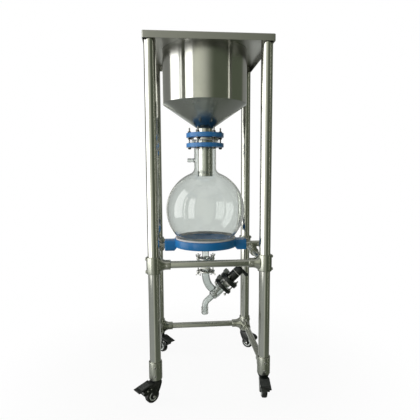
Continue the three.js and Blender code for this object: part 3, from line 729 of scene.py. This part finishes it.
def add_post_clamps():
    mid_height, low_height = span("mid_rail_front")[2][2], span("low_rail_rear")[2][2]
    for name, (sx, sy) in CORNERS.items():
        inward = [-sx * RIGHT, -sy * BACK]
        _, middle = post_clamp(
            f"middle_clamp_{name}", f"mid_clamp_{name}", MID_SLEEVE, mid_height - MID_HALF,
            mid_height + MID_HALF, inward, mid_height, -0.01, sx * RIGHT)
        for i, way in enumerate(inward):
            outer = np.cross(UP, way)
            outer = outer if outer @ inward[1 - i] < 0 else -outer
            screw = screw_head(middle + way * 0.060 + outer * LEG_RADIUS, outer)
            fastener(f"leg_screw_{name}_{i + 1}", screw)
        for i, rise in enumerate((-0.029, 0.029)):
            place = middle + UP * rise + sx * RIGHT * (MID_SLEEVE - 0.0045)
            lug = prism(eased([(-0.009, -0.006), (0.009, -0.006), (0.009, 0.006), (-0.009, 0.006)],
                              0.003, 5), -0.008, 0.008, 0.0015, place, BACK, RIGHT)
            rod = bar(0.0042, place - BACK * 0.0115 + sx * RIGHT * 0.003,
                      place + BACK * 0.0115 + sx * RIGHT * 0.003, 0.001, 20)
            piece(f"clamp_ear_{name}_{i + 1}", joined(lug, rod), CAST_STEEL)
        ways = inward if sy > 0 else inward[1:]
        node = f"low_clamp_{name}"
        foot, _ = post_clamp(f"lower_clamp_{name}", node, LOW_SLEEVE, *heights(node), ways,
                             low_height, 0.014)
        front = -BACK if sy < 0 else sx * RIGHT
        for i, height in enumerate((0.128, 0.167)):
            place = foot + UP * height + front * LOW_SLEEVE
            sleeve = ring_profile(0.0034, 0.0060, -0.003, 0.0022, 0.0006)
            fastener(f"set_screw_{name}_{i + 1}", turned(sleeve, place, front, 24, True))
            socket = turned(disc_profile(0.0036, -0.003, 0.0002, 0.0002), place, front, 6)
            piece(f"set_screw_socket_{name}_{i + 1}", socket, BLACK_GLOSS)


def add_rails():
    rails = ["mid_rail_left", "mid_rail_right", "mid_rail_rear", "mid_rail_front",
             "low_rail_left", "low_rail_right", "low_rail_rear"]
    for node in rails:
        low, high, middle = span(node)
        along_x = high[0] - low[0] > high[1] - low[1]
        axis = RIGHT if along_x else BACK
        radius, length = (high[2] - low[2]) / 2, max(high - low)
        profile = ring_profile(radius - RAIL_WALL, radius, -length / 2, length / 2, 0.0005)
        shape = turned(profile, middle, axis, 56, closed=True, side=UP)
        material = RAIL_ALONG_X if along_x else RAIL_ALONG_Y
        piece(f"{node}_tube", shape, material, node)


# ---------------------------------------------------------------- receiver's ring
def wing_screw(place, way, spread, size=0.016):
    """A screw with two flat ears: its ears are rounded leaves carried a little way across."""
    stem = bar(0.0035, place, place + way * 0.016, 0.0006, 20)
    hub = turned(eased([(0, 0.008), (0.007, 0.008), (0.0052, 0.017), (0, 0.017)], 0.001, closed=False),
                 place, way, 28)
    leaf = eased([(0.003, 0.010), (size * 0.7, 0.013), (size * 1.1, 0.024), (size * 0.75, 0.029),
                  (0.004, 0.0165)], 0.004, 6)
    ears = [prism(leaf * [sign, 1], -0.0016, 0.0016, 0.0009, place, np.cross(spread, way), spread)
            for sign in (-1, 1)]
    return joined(stem, hub, *ears)


def add_ring():
    pad_top = span("ring_pad")[1][2]
    ring_inner, ring_outer, ring_low, ring_high = 0.141, 0.158, 0.669, 0.707
    lug_low, lug_high = 0.650, 0.700
    reach = round_size("support_ring")[0]
    profile = eased([(ring_inner, ring_low), (ring_outer, ring_low), (ring_outer, ring_high),
                     (ring_inner, ring_high)], [0.001, 0.003, 0.003, 0.001], 6)
    added = [hoop(profile)]
    for sign in (-1, 1):
        outline = eased([(0.144, lug_high), (0.144, lug_low + 0.018), (0.158, lug_low),
                         (reach - 0.003, lug_low), (reach, lug_low + 0.003), (reach, lug_high)],
                        0.003, 4) * [sign, 1]
        added.append(prism(outline, -0.038, 0.038, 0.004, CENTRE, -BACK, RIGHT))
    piece("blue_support_ring", carved(added, []), BLUE_RING, "support_ring", 30)

    inner, outer = 0.1382, 0.152
    lip = eased([(inner, pad_top - 0.011), (ring_inner - 0.0003, pad_top - 0.011),
                 (ring_inner - 0.0003, ring_high + 0.0003), (outer, ring_high + 0.0003),
                 (outer, pad_top), (inner + 0.0022, pad_top), (inner, pad_top - 0.003)], 0.0009, 4)
    piece("ring_trim", hoop(lip), SILICONE, "ring_pad")

    for name, sign in SIDES.items():
        low, high, middle = span(f"ring_arm_{name}")
        radius = (high[2] - low[2]) / 2
        ends = [np.array([x, middle[1], middle[2]]) for x in (low[0], high[0])]
        piece(f"ring_arm_rod_{name}", bar(radius, *ends, 0.0015, 40), RAIL_ALONG_X,
              f"ring_arm_{name}")
        add_cross_clamp(name, sign, middle[2])


def add_cross_clamp(name, sign, arm_height):
    """Two crossed sleeves in one casting, with a wing screw in each."""
    rail = span(f"mid_rail_{name}")[2]
    low, high, _ = span(f"cross_clamp_{name}")
    out = sign * RIGHT
    half = (high[1] - low[1]) / 2
    across = rail * [1, 0, 1] + CENTRE * [0, 1, 0]
    upper = np.array([0, across[1], arm_height])
    lower_sleeve = bar(0.022, across - BACK * half, across + BACK * half, 0.0025, 56)
    length = 0.050
    start = upper + RIGHT * (high[0] - length if sign > 0 else low[0])
    end = start + RIGHT * length
    upper_sleeve = bar(0.015, start, end, 0.002, 48)
    web_outline = eased([(-0.017, -0.024), (0.017, -0.024), (0.012, 0.024), (-0.012, 0.024)], 0.004, 5)
    web = prism(web_outline, -0.011, 0.011, 0.003, (across + upper + RIGHT * across[0]) / 2,
                -BACK, RIGHT)
    bores = [bar(RAIL_BORE, across - BACK * 0.06, across + BACK * 0.06, CUT_EDGE, 48),
             bar(ARM_BORE, start - RIGHT * 0.03, end + RIGHT * 0.03, CUT_EDGE, 32)]
    shape = carved([lower_sleeve, upper_sleeve, web], bores)
    piece(f"cross_clamp_casting_{name}", shape, CAST_STEEL, f"cross_clamp_{name}",
          32)
    screws = [
        wing_screw(across - BACK * 0.012 + out * 0.019 - UP * 0.006, unit(out - 0.5 * UP), BACK),
        wing_screw((start + end) / 2 + out * 0.014 - BACK * 0.011, -BACK, UP, 0.012),
    ]
    fastener(f"cross_clamp_screws_{name}", joined(*screws))


# ---------------------------------------------------------------- funnel
def add_funnel():
    rim_radius, spout_end, rim_top = round_size("funnel_body")
    plate_top = span("top_plate")[1][2] + 0.0003
    outer, inner = BARREL_RADIUS, BARREL_RADIUS - BARREL_WALL
    slope = (BARREL_FOOT - CONE_FOOT) / (outer - SPOUT_RADIUS)
    rise = BARREL_WALL * math.hypot(1, slope)
    spout_inner = SPOUT_RADIUS - SPOUT_WALL
    inside = lambda radius: CONE_FOOT + (radius - SPOUT_RADIUS) * slope + rise

    barrel = eased([
        (outer, BARREL_FOOT), (outer, plate_top), (rim_radius, plate_top), (rim_radius, rim_top),
        (inner, rim_top), (inner, LEDGE_TOP), (LEDGE_RADIUS, LEDGE_TOP),
        (LEDGE_RADIUS, inside(LEDGE_RADIUS)),
        (LEDGE_RADIUS + 0.006, inside(LEDGE_RADIUS + 0.006) - rise),
    ], [0.0006, 0.002, 0.003, 0.003, 0.002, 0.001, 0.001, 0.001, 0.0005], 5)
    piece("funnel_barrel", hoop(barrel, 192), BARREL_STEEL, "funnel_body", 25)
    seam = outer + 0.0006
    cone = eased([
        (seam - 0.0016, BARREL_FOOT + 0.0010), (seam, BARREL_FOOT - 0.0004),
        (SPOUT_RADIUS, CONE_FOOT), (spout_inner, CONE_FOOT), (spout_inner, inside(spout_inner)),
        (LEDGE_RADIUS - 0.0005, inside(LEDGE_RADIUS)),
    ][::-1], [0.0004, 0.001, 0.0005, 0.001, 0.0012, 0.0004], 5)
    piece("funnel_cone", hoop(cone, 192), CONE_STEEL, crease=25)
    spout = ring_profile(spout_inner, SPOUT_RADIUS, spout_end, CONE_FOOT + 0.001, 0.0004)
    piece("funnel_spout", hoop(spout, 128), BARREL_STEEL)
    disc = ring_profile(SPOUT_RADIUS, DISC_RADIUS, DISC_LOW, DISC_HIGH, 0.001)
    piece("spout_disc", hoop(disc, 96), FASTENER_STEEL)
    bead = arc((0, 0), 0.0016, 0, 360, 9)[:-1]
    collar = bead + [SPOUT_RADIUS + 0.0006, CONE_FOOT + 0.0004]
    piece("spout_weld", hoop(collar, 96), CONE_STEEL)


def add_screen():
    """The perforated plate: a square lattice of cells, each an eight-sided hole in a square, cut off by
    a plain rim. Cells without a neighbour get a side wall."""
    radius, bottom, top = round_size("filter_plate")
    pitch, hole, reach = 0.009, 0.0022, radius - 0.022
    count = int(reach / pitch) + 1
    steps = np.arange(-count, count + 1)
    column, row = (part.ravel() for part in np.meshgrid(steps, steps))
    kept = np.hypot(column, row) * pitch < reach
    column, row = column[kept], row[kept]
    centre = np.column_stack([column, row]) * pitch
    turn = np.arange(8) * math.pi / 4
    circle = np.column_stack([np.cos(turn), np.sin(turn)])
    square = circle / np.abs(circle).max(1, keepdims=True) * pitch / 2
    levels = [(square, bottom), (square, top), (circle * hole, top), (circle * hole, bottom)]
    loops = np.stack([
        np.concatenate([centre[:, None] + ring, np.full((len(centre), 8, 1), level)], -1)
        for ring, level in levels
    ], 1)
    index = np.arange(loops[..., 0].size).reshape(len(centre), 4, 8)
    after = np.roll(index, -1, 2)
    walls = [np.stack([index[:, a], after[:, a], after[:, b], index[:, b]], -1)
             for a, b in ((1, 2), (2, 3), (3, 0))]
    taken = set(zip(column.tolist(), row.tolist()))
    sides = []
    for way, (dx, dy) in enumerate(((1, 0), (0, 1), (-1, 0), (0, -1))):
        bare = np.array([(a + dx, b + dy) not in taken for a, b in zip(column.tolist(), row.tolist())])
        for corner in (2 * way - 1, 2 * way):
            a, b = corner % 8, (corner + 1) % 8
            sides.append(np.stack([index[bare, 0, a], index[bare, 0, b], index[bare, 1, b],
                                   index[bare, 1, a]], -1))
    points = loops.reshape(-1, 3) + CENTRE
    lattice = (points, [wall.reshape(-1, 4) for wall in walls] + sides)
    rim = ring_profile(reach - 0.004, radius, bottom - 0.0001, top + 0.0003, 0.0005)
    shape = joined(lattice, hoop(rim))
    piece("perforated_plate", shape, SCREEN_STEEL, "filter_plate",
          body="filter_plate")
    radius, bottom, top = round_size("press_ring")
    ring = hoop(ring_profile(0.184, radius, bottom, top, 0.0015))
    grips, knobs, knob_circle = [], [], 0.1925
    for sign in (-1, 1):
        on_ring = lambda height: CENTRE + UP * (top + height) + RIGHT * sign * knob_circle
        grips.append(bar(0.003, on_ring(-0.001), on_ring(0.011), 0.001, 20))
        knobs.append(turned(disc_profile(0.006, 0, 0.005, 0.0015), on_ring(0.010), UP, 28))
    piece("cloth_press_ring", joined(ring, *grips, *knobs), SCREEN_STEEL, "press_ring",
          body="press_ring")


def add_clamp_pair():
    for node, inner in (("upper_flange", 0.046), ("lower_flange", 0.0585)):
        profile = ring_profile(inner, *round_size(node), 0.0028)
        piece(f"blue_{node}", hoop(profile, 128), BLUE_FLANGE, node)
    profile = ring_profile(0.050, *round_size("neck_gasket"), 0.0008)
    piece("neck_seal_ring", hoop(profile, 96), SILICONE, "neck_gasket")
    upper_low, upper_high, lower_low = *heights("upper_flange"), heights("lower_flange")[0]
    for i in range(6):
        node = f"flange_bolt_{i + 1}"
        foot = foot_of(node)
        out = unit(foot - CENTRE)
        rod = threaded_rod(BOLT_RADIUS, *heights(node), foot)
        nuts = [nut(NUT_RADIUS, start, start + 0.0068, foot, UP, out)
                for start in (lower_low - 0.0085, upper_low - 0.0085, upper_high + 0.0017)]
        washers = [turned(ring_profile(0.0042, 0.0095, start, start + 0.0014, 0.0003), foot,
                          segments=36, closed=True)
                   for start in (lower_low - 0.0016, upper_low - 0.0016, upper_high + 0.0002)]
        piece(f"flange_bolt_rod_{i + 1}", joined(rod, *washers), FASTENER_STEEL, node)
        piece(f"flange_bolt_nuts_{i + 1}", joined(*nuts), DARK_NUT)


# ---------------------------------------------------------------- glass receiver
def flask_side(radius, neck, shoulder, outlet, fillet):
    """The bulb's outline between its tubes: a fillet arc off the outlet, the sphere, and a shoulder arc
    into the neck, each tangent to the next."""
    neck_angle = math.degrees(math.acos((neck + shoulder) / (radius + shoulder)))
    outlet_angle = -math.degrees(math.acos((outlet + fillet) / (radius + fillet)))
    middle = np.array([0, BULB_CENTRE])
    shoulder_middle = arc(middle, radius + shoulder, neck_angle, neck_angle, 1)[0]
    fillet_middle = arc(middle, radius + fillet, outlet_angle, outlet_angle, 1)[0]
    return np.vstack([
        arc(fillet_middle, fillet, 180, 180 + outlet_angle, 8),
        arc(middle, radius, outlet_angle, neck_angle, 90)[1:-1],
        arc(shoulder_middle, shoulder, 180 + neck_angle, 180, 12),
    ])


def add_flask():
    neck_in, outlet_in = NECK_RADIUS - GLASS_WALL, OUTLET_RADIUS - OUTLET_WALL
    bottom, top = heights("flask")
    foot_bead = eased([(OUTLET_BEAD, bottom), (OUTLET_BEAD, bottom + 0.0087),
                       (OUTLET_RADIUS, bottom + 0.0087)], [0.002, 0.002, 0.002], 5, closed=False)
    lip = eased([(NECK_RADIUS, NECK_BEAD_LOW - 0.02), (NECK_RADIUS, NECK_BEAD_LOW),
                 (NECK_BEAD, NECK_BEAD_LOW), (NECK_BEAD, top), (neck_in, top)],
                [0.001, 0.006, 0.003, 0.003, 0.002], 6, closed=False)
    outside = flask_side(BULB_RADIUS, NECK_RADIUS, 0.030, OUTLET_RADIUS, 0.012)
    inside = flask_side(BULB_RADIUS - GLASS_WALL, neck_in, 0.030 + GLASS_WALL, outlet_in,
                        0.012 + GLASS_WALL)
    profile = np.vstack([[(outlet_in, bottom)], foot_bead, outside, lip, inside[::-1]])
    body = hoop(profile)
    tip = CENTRE + UP * NOZZLE_HEIGHT - RIGHT * 0.088
    root = CENTRE + UP * NOZZLE_HEIGHT - RIGHT * (NECK_RADIUS - 0.003)
    barb = eased([(0, 0), (0.0085, 0), (0.0108, 0.004), (0.0092, 0.009), (0.0108, 0.013),
                  (0.0092, 0.018), (0.0092, 0.027), (0.0120, 0.036), (0, 0.036)], 0.0012, 4,
                 closed=False)
    nozzle = turned(barb, tip, RIGHT, 48)
    bore = bar(NOZZLE_BORE, tip - RIGHT * 0.01, root + RIGHT * 0.008, CUT_EDGE, 32)
    shape = carved([body, nozzle], [bore])
    piece("glass_receiver", shape, GLASS, "flask", 50)


# ---------------------------------------------------------------- outlet coupling
def add_coupling():
    """Two steel rings with an ear on each side, drawn together by rods with wing nuts."""
    ear = 0.038
    rings = {}
    for name in ("upper", "lower"):
        node = f"outlet_clamp_{name}"
        low, high = rings[name] = heights(node)
        added = [turned(disc_profile(0.039, low, high, 0.0018), CENTRE, UP, 80)]
        added += [turned(disc_profile(0.009, low, high, 0.0018), CENTRE + RIGHT * side * ear, UP, 40)
                  for side in (-1, 1)]
        hole = turned(plug(0.0195, 0, 1), CENTRE, UP, 64)
        piece(f"outlet_clamp_ring_{name}", carved(added, [hole]), FASTENER_STEEL, node)
    radius, low, high = round_size("outlet_bellows")
    ribs, bore = 3, 0.014
    height = np.linspace(low, high, 61)
    share = (height - low) / (high - low)
    wave = radius - 0.0022 + 0.0022 * np.cos(FULL_TURN * ribs * share)
    profile = np.vstack([[(bore, low)], np.column_stack([wave, height]), [(bore, high)]])
    piece("outlet_bellows_sleeve", hoop(profile, 72), PTFE, "outlet_bellows")
    for name, sign in SIDES.items():
        foot = CENTRE + RIGHT * sign * ear
        rod = threaded_rod(0.0032, rings["lower"][0] - 0.014, rings["upper"][1] + 0.024, foot)
        upper_wing, lower_wing = (
            wing_screw(foot + UP * (end - 0.0075 * way), UP * way, unit(RIGHT + turn * BACK), 0.014)
            for end, way, turn in ((rings["upper"][1], 1, 0.5), (rings["lower"][0], -1, -0.6)))
        stop = nut(0.0072, rings["upper"][0] - 0.0062, rings["upper"][0] - 0.0002, foot)
        fastener(f"coupling_rod_{name}", joined(rod, upper_wing, lower_wing, stop))


# ---------------------------------------------------------------- drain valve
VALVE_PLACE, VALVE_AXIS = joint("valve_knob_turn")
KNOB_TOP = 0.206  # how far the handle's end lies from the barrel's closed end
VALVE_FOOT = VALVE_PLACE - VALVE_AXIS * KNOB_TOP
VALVE_SIDE = np.cross(BACK, VALVE_AXIS)


def on_valve(profile, segments=64, closed=False):
    return turned(profile, VALVE_FOOT, VALVE_AXIS, segments, closed, side=VALVE_SIDE)


def valve_point(x, z):
    return CENTRE + RIGHT * x + UP * z


def add_valve_glass():
    """The glass body: a barrel on the tilted axis, a bent arm down from the coupling, and a bent hose
    tail with barbs. The same shapes, a wall thinner, are cut out of it."""
    on_axis = lambda along: VALVE_FOOT + VALVE_AXIS * along
    arm = eased([valve_point(0, 0.545), valve_point(0, 0.500), valve_point(0.012, 0.462),
                 valve_point(0.040, 0.430), on_axis(0.034)], 0.03, 10, closed=False)
    tail = eased([on_axis(0.010), on_axis(-0.020), valve_point(-0.001, 0.370),
                  valve_point(-0.005, 0.345), valve_point(-0.005, 0.322)], 0.016, 9, closed=False)
    barrel = eased([(0, 0), (0.023, 0), (0.0262, 0.030), (0.0258, 0.052), (0.0242, 0.068),
                    (0.028, 0.087), (0.028, 0.100), (0, 0.100)],
                   [0, 0.010, 0.01, 0.008, 0.005, 0.003, 0.002, 0], 7, closed=False)
    core = eased([(0, 0.006), (0.0165, 0.006), (0.019, 0.046), (0.019, 0.104), (0, 0.104)], 0.006, 5,
                 closed=False)
    barb_foot = valve_point(-0.005, 0.305)
    barb = eased([(0, 0), (0.0155, 0), (0.0195, 0.010), (0.0160, 0.014), (0.0195, 0.023),
                  (0.0160, 0.027), (0.0195, 0.035), (0.0155, 0.040), (0, 0.040)], 0.0015, 5,
                 closed=False)
    collar = bar(0.026, valve_point(0, 0.5383), valve_point(0, 0.5468), 0.002, 56)
    flare = turned(eased([(0, 0.505), (0.0196, 0.505), (0.0205, 0.522), (0.025, 0.5385), (0, 0.5385)],
                         0.006, 5, closed=False), CENTRE, UP, 56)
    arm_radius, arm_bore, tail_radius, tail_bore = 0.020, 0.0155, 0.016, 0.0115
    added = [on_valve(barrel), tube_along(arm, arm_radius, BACK, 48), collar, flare,
             tube_along(tail, tail_radius, BACK, 48), turned(barb, barb_foot, UP, 48)]
    removed = [on_valve(core), tube_along(arm, arm_bore, BACK, 40),
               bar(0.014, valve_point(0, 0.540), valve_point(0, 0.552), CUT_EDGE, 40),
               tube_along(tail, tail_bore, BACK, 40),
               bar(tail_bore, barb_foot - UP * 0.002, barb_foot + UP * 0.022, CUT_EDGE, 40)]
    shape = carved(added, removed)
    piece("valve_glass_body", shape, VALVE_GLASS, "valve_body", 45)


def add_valve_clamp():
    """Two black rings on the tilted axis, whose rims swing out three times a turn with the cosine; three
    bolts between them, and a rod with two hand nuts."""
    circle, outer, rod_radius, nut_radius = 0.041, 0.0505, 0.0036, 0.0072
    reaches = {"valve_flange_lower": (0.0248, 0.0695, 0.0865),
               "valve_flange_upper": (0.020, 0.111, 0.133)}
    for node, (inner, low, high) in reaches.items():
        turn = around(96)
        profile = ring_profile(inner, outer, low, high, 0.0022)
        outward = np.clip((profile[:, :1] - inner) / (outer - inner), 0, 1)
        reach = profile[:, :1] + outward * 0.002 * np.cos(3 * turn)
        shape = spun(reach, profile[:, 1:], turn, VALVE_FOOT, VALVE_AXIS, VALVE_SIDE, closed=True)
        piece(f"black_{node}", shape, BLACK_VALVE, node)
    for i in range(3):
        angle = math.radians(120 * i)
        spoke = VALVE_SIDE * math.cos(angle) + np.cross(VALVE_AXIS, VALVE_SIDE) * math.sin(angle)
        foot = VALVE_FOOT + spoke * circle
        rod = threaded_rod(rod_radius, 0.050, 0.150, foot, VALVE_AXIS)
        cap = turned(disc_profile(0.0062, 0.049, 0.058, 0.0025), foot, VALVE_AXIS, 32)
        nuts = [nut(nut_radius, *ends, foot, VALVE_AXIS, spoke)
                for ends in ((0.0868, 0.0925), (0.1335, 0.1395))]
        fastener(f"valve_clamp_bolt_{i + 1}", joined(rod, cap, *nuts))
    foot = VALVE_FOOT - VALVE_SIDE * circle
    fastener("valve_hand_rod", threaded_rod(rod_radius, 0.060, 0.158, foot, VALVE_AXIS))
    add_hand_nut("valve_hand_nut_lower", foot, 0.0867, 0.1085)
    add_hand_nut("valve_hand_nut_upper", foot, 0.1332, 0.1555)


def add_hand_nut(name, foot, low, high):
    """A moulded nut: its radius swings with the cosine of ten times the angle, as finger grooves."""
    profile = eased([(0, low), (0.0142, low), (0.0150, high), (0, high)], 0.002, 5, closed=False)
    turn = around(120)
    reach = profile[:, :1] * (1 - 0.05 * (0.5 - 0.5 * np.cos(10 * turn)))
    shape = spun(reach, profile[:, 1:], turn, foot, VALVE_AXIS, VALVE_SIDE)
    piece(name, shape, GREY_NUT)


def add_valve_stem():
    """The sealing cup, the sleeve with 24 flutes along it, the cross handle and the plunger's rod."""
    bore, spigot = 0.0085, 0.0196
    seal = eased([(bore, 0.084), (0.0185, 0.084), (0.0185, 0.1003), (0.028, 0.1003), (0.028, 0.1107),
                  (bore, 0.1107)], 0.0008, 4)
    piece("valve_seal_cup", on_valve(seal, closed=True), PTFE, "valve_seal")
    bonnet = eased([(bore, 0.111), (spigot, 0.111), (spigot, 0.1333), (0.0245, 0.1333),
                    (0.0245, 0.1755), (0.0235, 0.1765), (bore, 0.1765)], 0.0009, 4)
    turn = around(144)
    flutes = np.where(bonnet[:, :1] > 0.022, 0.0007 * (0.5 - 0.5 * np.cos(24 * turn)), 0)
    reach = bonnet[:, :1] - flutes
    shape = spun(reach, bonnet[:, 1:], turn, VALVE_FOOT, VALVE_AXIS, VALVE_SIDE, closed=True)
    piece("valve_bonnet_sleeve", shape, BLACK_VALVE, "valve_bonnet")
    line = ring_profile(bore, 0.0248, 0.1766, 0.1779, 0.0003)
    piece("valve_bonnet_washer", on_valve(line, closed=True), PTFE)

    hub = on_valve(disc_profile(0.0245, 0.1784, KNOB_TOP, 0.003))
    middle = VALVE_FOOT + VALVE_AXIS * KNOB_TOP
    across = VALVE_SIDE
    along = np.linspace(-0.055, 0.055, 41)
    swell = 0.0090 + 0.0007 * np.cos(FULL_TURN * along / 0.022)
    ends = np.sqrt(np.clip(1 - ((np.abs(along) - 0.049) / 0.006).clip(0) ** 2, 0, 1))
    bar_points = middle + along[:, None] * across
    handle = tube_along(bar_points, np.maximum(swell * ends, 0.0005), np.cross(VALVE_AXIS, across), 32)
    bore_cut = on_valve(plug(0.0095, 0.17, 0.200), 40)
    piece("valve_handle", carved([hub, handle], [bore_cut]), BLACK_VALVE, "valve_knob",
          body="valve_knob")
    plunger = eased([(0, 0.009), (0.011, 0.009), (0.015, 0.015), (0.015, 0.024), (0.008, 0.029),
                     (0.008, 0.184), (0, 0.184)], 0.0012, 4, closed=False)
    piece("valve_plunger_rod", on_valve(plunger, 48), PTFE, "valve_plunger",
          body="valve_plunger")


# ---------------------------------------------------------------- casters
FORK_OUTLINE = np.array([
    (-21, 98), (-21, 86), (-13, 64), (-1, 42), (10, 27), (16, 23), (26, 23), (30, 28), (29, 49),
    (33, 59), (43, 62), (54, 54), (62, 51), (72, 51), (78, 60), (76, 70), (66, 79), (50, 84),
    (32, 90.5), (22, 98),
]) / 1000
TREAD_TOP = np.array([(29, 99), (88, 86.5), (95, 83), (104, 84)]) / 1000
TREAD_THICK = 0.005
EAR_OUTLINE = np.array([(31, 95), (50, 92), (47, 70), (31, 70)]) / 1000


class Caster:
    """One caster's own axes: out along its trail, sideways along its axle, and up."""

    def __init__(self, name):
        self.name = name
        self.foot = joint(f"caster_swivel_{name}")[0] * [1, 1, 0]
        hub = joint(f"wheel_spin_{name}")[0]
        self.trail = unit((hub - self.foot) * [1, 1, 0])
        self.axle = np.cross(UP, self.trail)
        self.hub = self.foot + self.trail * WHEEL_TRAIL + UP * WHEEL_RADIUS

    def point(self, x, y, z):
        return self.foot + self.trail * x + self.axle * y + UP * z

    def plate(self, outline, low, high, edge):
        """An outline in the caster's upright plane, carried sideways."""
        return prism(outline, -high, -low, edge, self.foot, -self.axle, self.trail)

    def across(self, profile, place, segments, closed=False):
        """A profile turned about a line along the axle."""
        return turned(profile, place, self.axle, segments, closed, side=UP)


def add_fork(caster):
    name = caster.name
    housing = caster.plate(eased(FORK_OUTLINE, 0.005, 6), -FORK_HALF, FORK_HALF, 0.003)
    slot = caster.across(plug(SLOT_RADIUS, -SLOT_HALF, SLOT_HALF), caster.hub, 56)
    cheeks = [caster.across(disc_profile(0.0085, middle - 0.0028, middle + 0.0028, 0.0015),
                            caster.hub, 36) for middle in (-0.0175, 0.0175)]
    cap_low, cap_high = 0.097, 0.1067
    cap = turned(disc_profile(0.026, cap_low, cap_high, 0.0025), caster.foot, UP, 56)
    groove = turned(ring_profile(0.0245, 0.030, 0.1005, 0.1018, CUT_EDGE), caster.foot, UP, 56, True)
    stem = turned(disc_profile(0.006, cap_high - 0.002, 0.119, 0.001), caster.foot, UP, 28)
    shape = carved([housing, cap, *cheeks, stem], [slot, groove])
    body = f"fork_{name}"
    piece(f"caster_housing_{name}", shape, BLACK_GLOSS, f"caster_fork_{name}", 35,
          body)
    rivets = []
    for side in (-1, 1):
        low, high = sorted((side * (FORK_HALF - 0.002), side * (FORK_HALF + 0.0032)))
        rivets += [caster.across(disc_profile(0.0040, low, high, 0.0014), caster.point(x, 0, z), 24)
                   for x, z in ((0.057, 0.073), (0.039, 0.076))]
        low, high = sorted((side * 0.0135, side * (FORK_HALF + 0.0022)))
        rivets.append(caster.across(disc_profile(0.0058, low, high, 0.0018), caster.hub, 28))
    fastener(f"caster_rivets_{name}", joined(*rivets), body)


def add_wheel(caster):
    name = caster.name
    tread = eased([(HUB_OUTER, -0.0125), (0.0280, -0.0132), (WHEEL_RADIUS, -0.0090),
                   (WHEEL_RADIUS, 0.0090), (0.0280, 0.0132), (HUB_OUTER, 0.0125)],
                  [0.0006, 0.003, 0.005, 0.005, 0.003, 0.0006], 6)
    body = f"wheel_{name}"
    piece(f"caster_tyre_{name}", caster.across(tread, caster.hub, 80, True), TYRE,
          f"caster_wheel_{name}", body=body)
    core = ring_profile(HUB_INNER, HUB_OUTER + 0.0001, -0.0130, 0.0130, 0.0012)
    piece(f"caster_hub_ring_{name}", caster.across(core, caster.hub, 80, True), HUB,
          body=body)
    half = [(0.0044, 0.0122), (0.0078, 0.0122), (0.0090, 0.0095), (HUB_INNER, 0.0090)]
    web = eased(half + [(r, -y) for r, y in reversed(half)], 0.0008, 4)
    piece(f"caster_hub_web_{name}", caster.across(web, caster.hub, 64, True), BLACK_GLOSS,
          body=body)


def add_pedal(caster):
    name = caster.name
    half, inner = 0.023, 0.0206
    tread_outline = np.vstack([TREAD_TOP, TREAD_TOP[::-1] - [0, TREAD_THICK]])
    tread = caster.plate(eased(tread_outline, 0.002, 4), -half, half, 0.0016)
    ears = [caster.plate(eased(EAR_OUTLINE, 0.003, 5), *sorted((side * inner, side * half)), 0.0008)
            for side in (-1, 1)]
    body = f"pedal_{name}"
    piece(f"pedal_lever_{name}", joined(tread, *ears), BLACK_GLOSS, f"brake_pedal_{name}",
          body=body)
    slope = unit(TREAD_TOP[1] - TREAD_TOP[0])
    normal = np.array([-slope[1], slope[0]])
    start, end = TREAD_TOP[0] + slope * 0.014, TREAD_TOP[1] - slope * 0.002
    pads = [np.array([start, end, end + normal * 0.0010, start + normal * 0.0010])]
    for share in np.linspace(0.04, 0.92, 9):
        base = start + (end - start) * share + normal * 0.0008
        pads.append(np.array([base, base + slope * 0.0026, base + slope * 0.0020 + normal * 0.0014,
                              base + slope * 0.0006 + normal * 0.0014]))
    shapes = [caster.plate(eased(pad, 0.0004, 3), -half + 0.003, half - 0.003, 0.0004) for pad in pads]
    piece(f"pedal_pad_{name}", joined(*shapes), PEDAL_PAD, body=body)


def add_casters():
    for name in CORNERS:
        caster = Caster(name)
        add_fork(caster)
        add_wheel(caster)
        if name in BRAKED:
            add_pedal(caster)


# ---------------------------------------------------------------- scene
bpy.context.scene.view_settings.view_transform = "Standard"
add_camera()
add_room()
add_floor()
add_top_plate()
add_posts()
add_post_clamps()
add_rails()
add_ring()
add_funnel()
add_screen()
add_clamp_pair()
add_flask()
add_coupling()
add_valve_glass()
add_valve_clamp()
add_valve_stem()
add_casters()
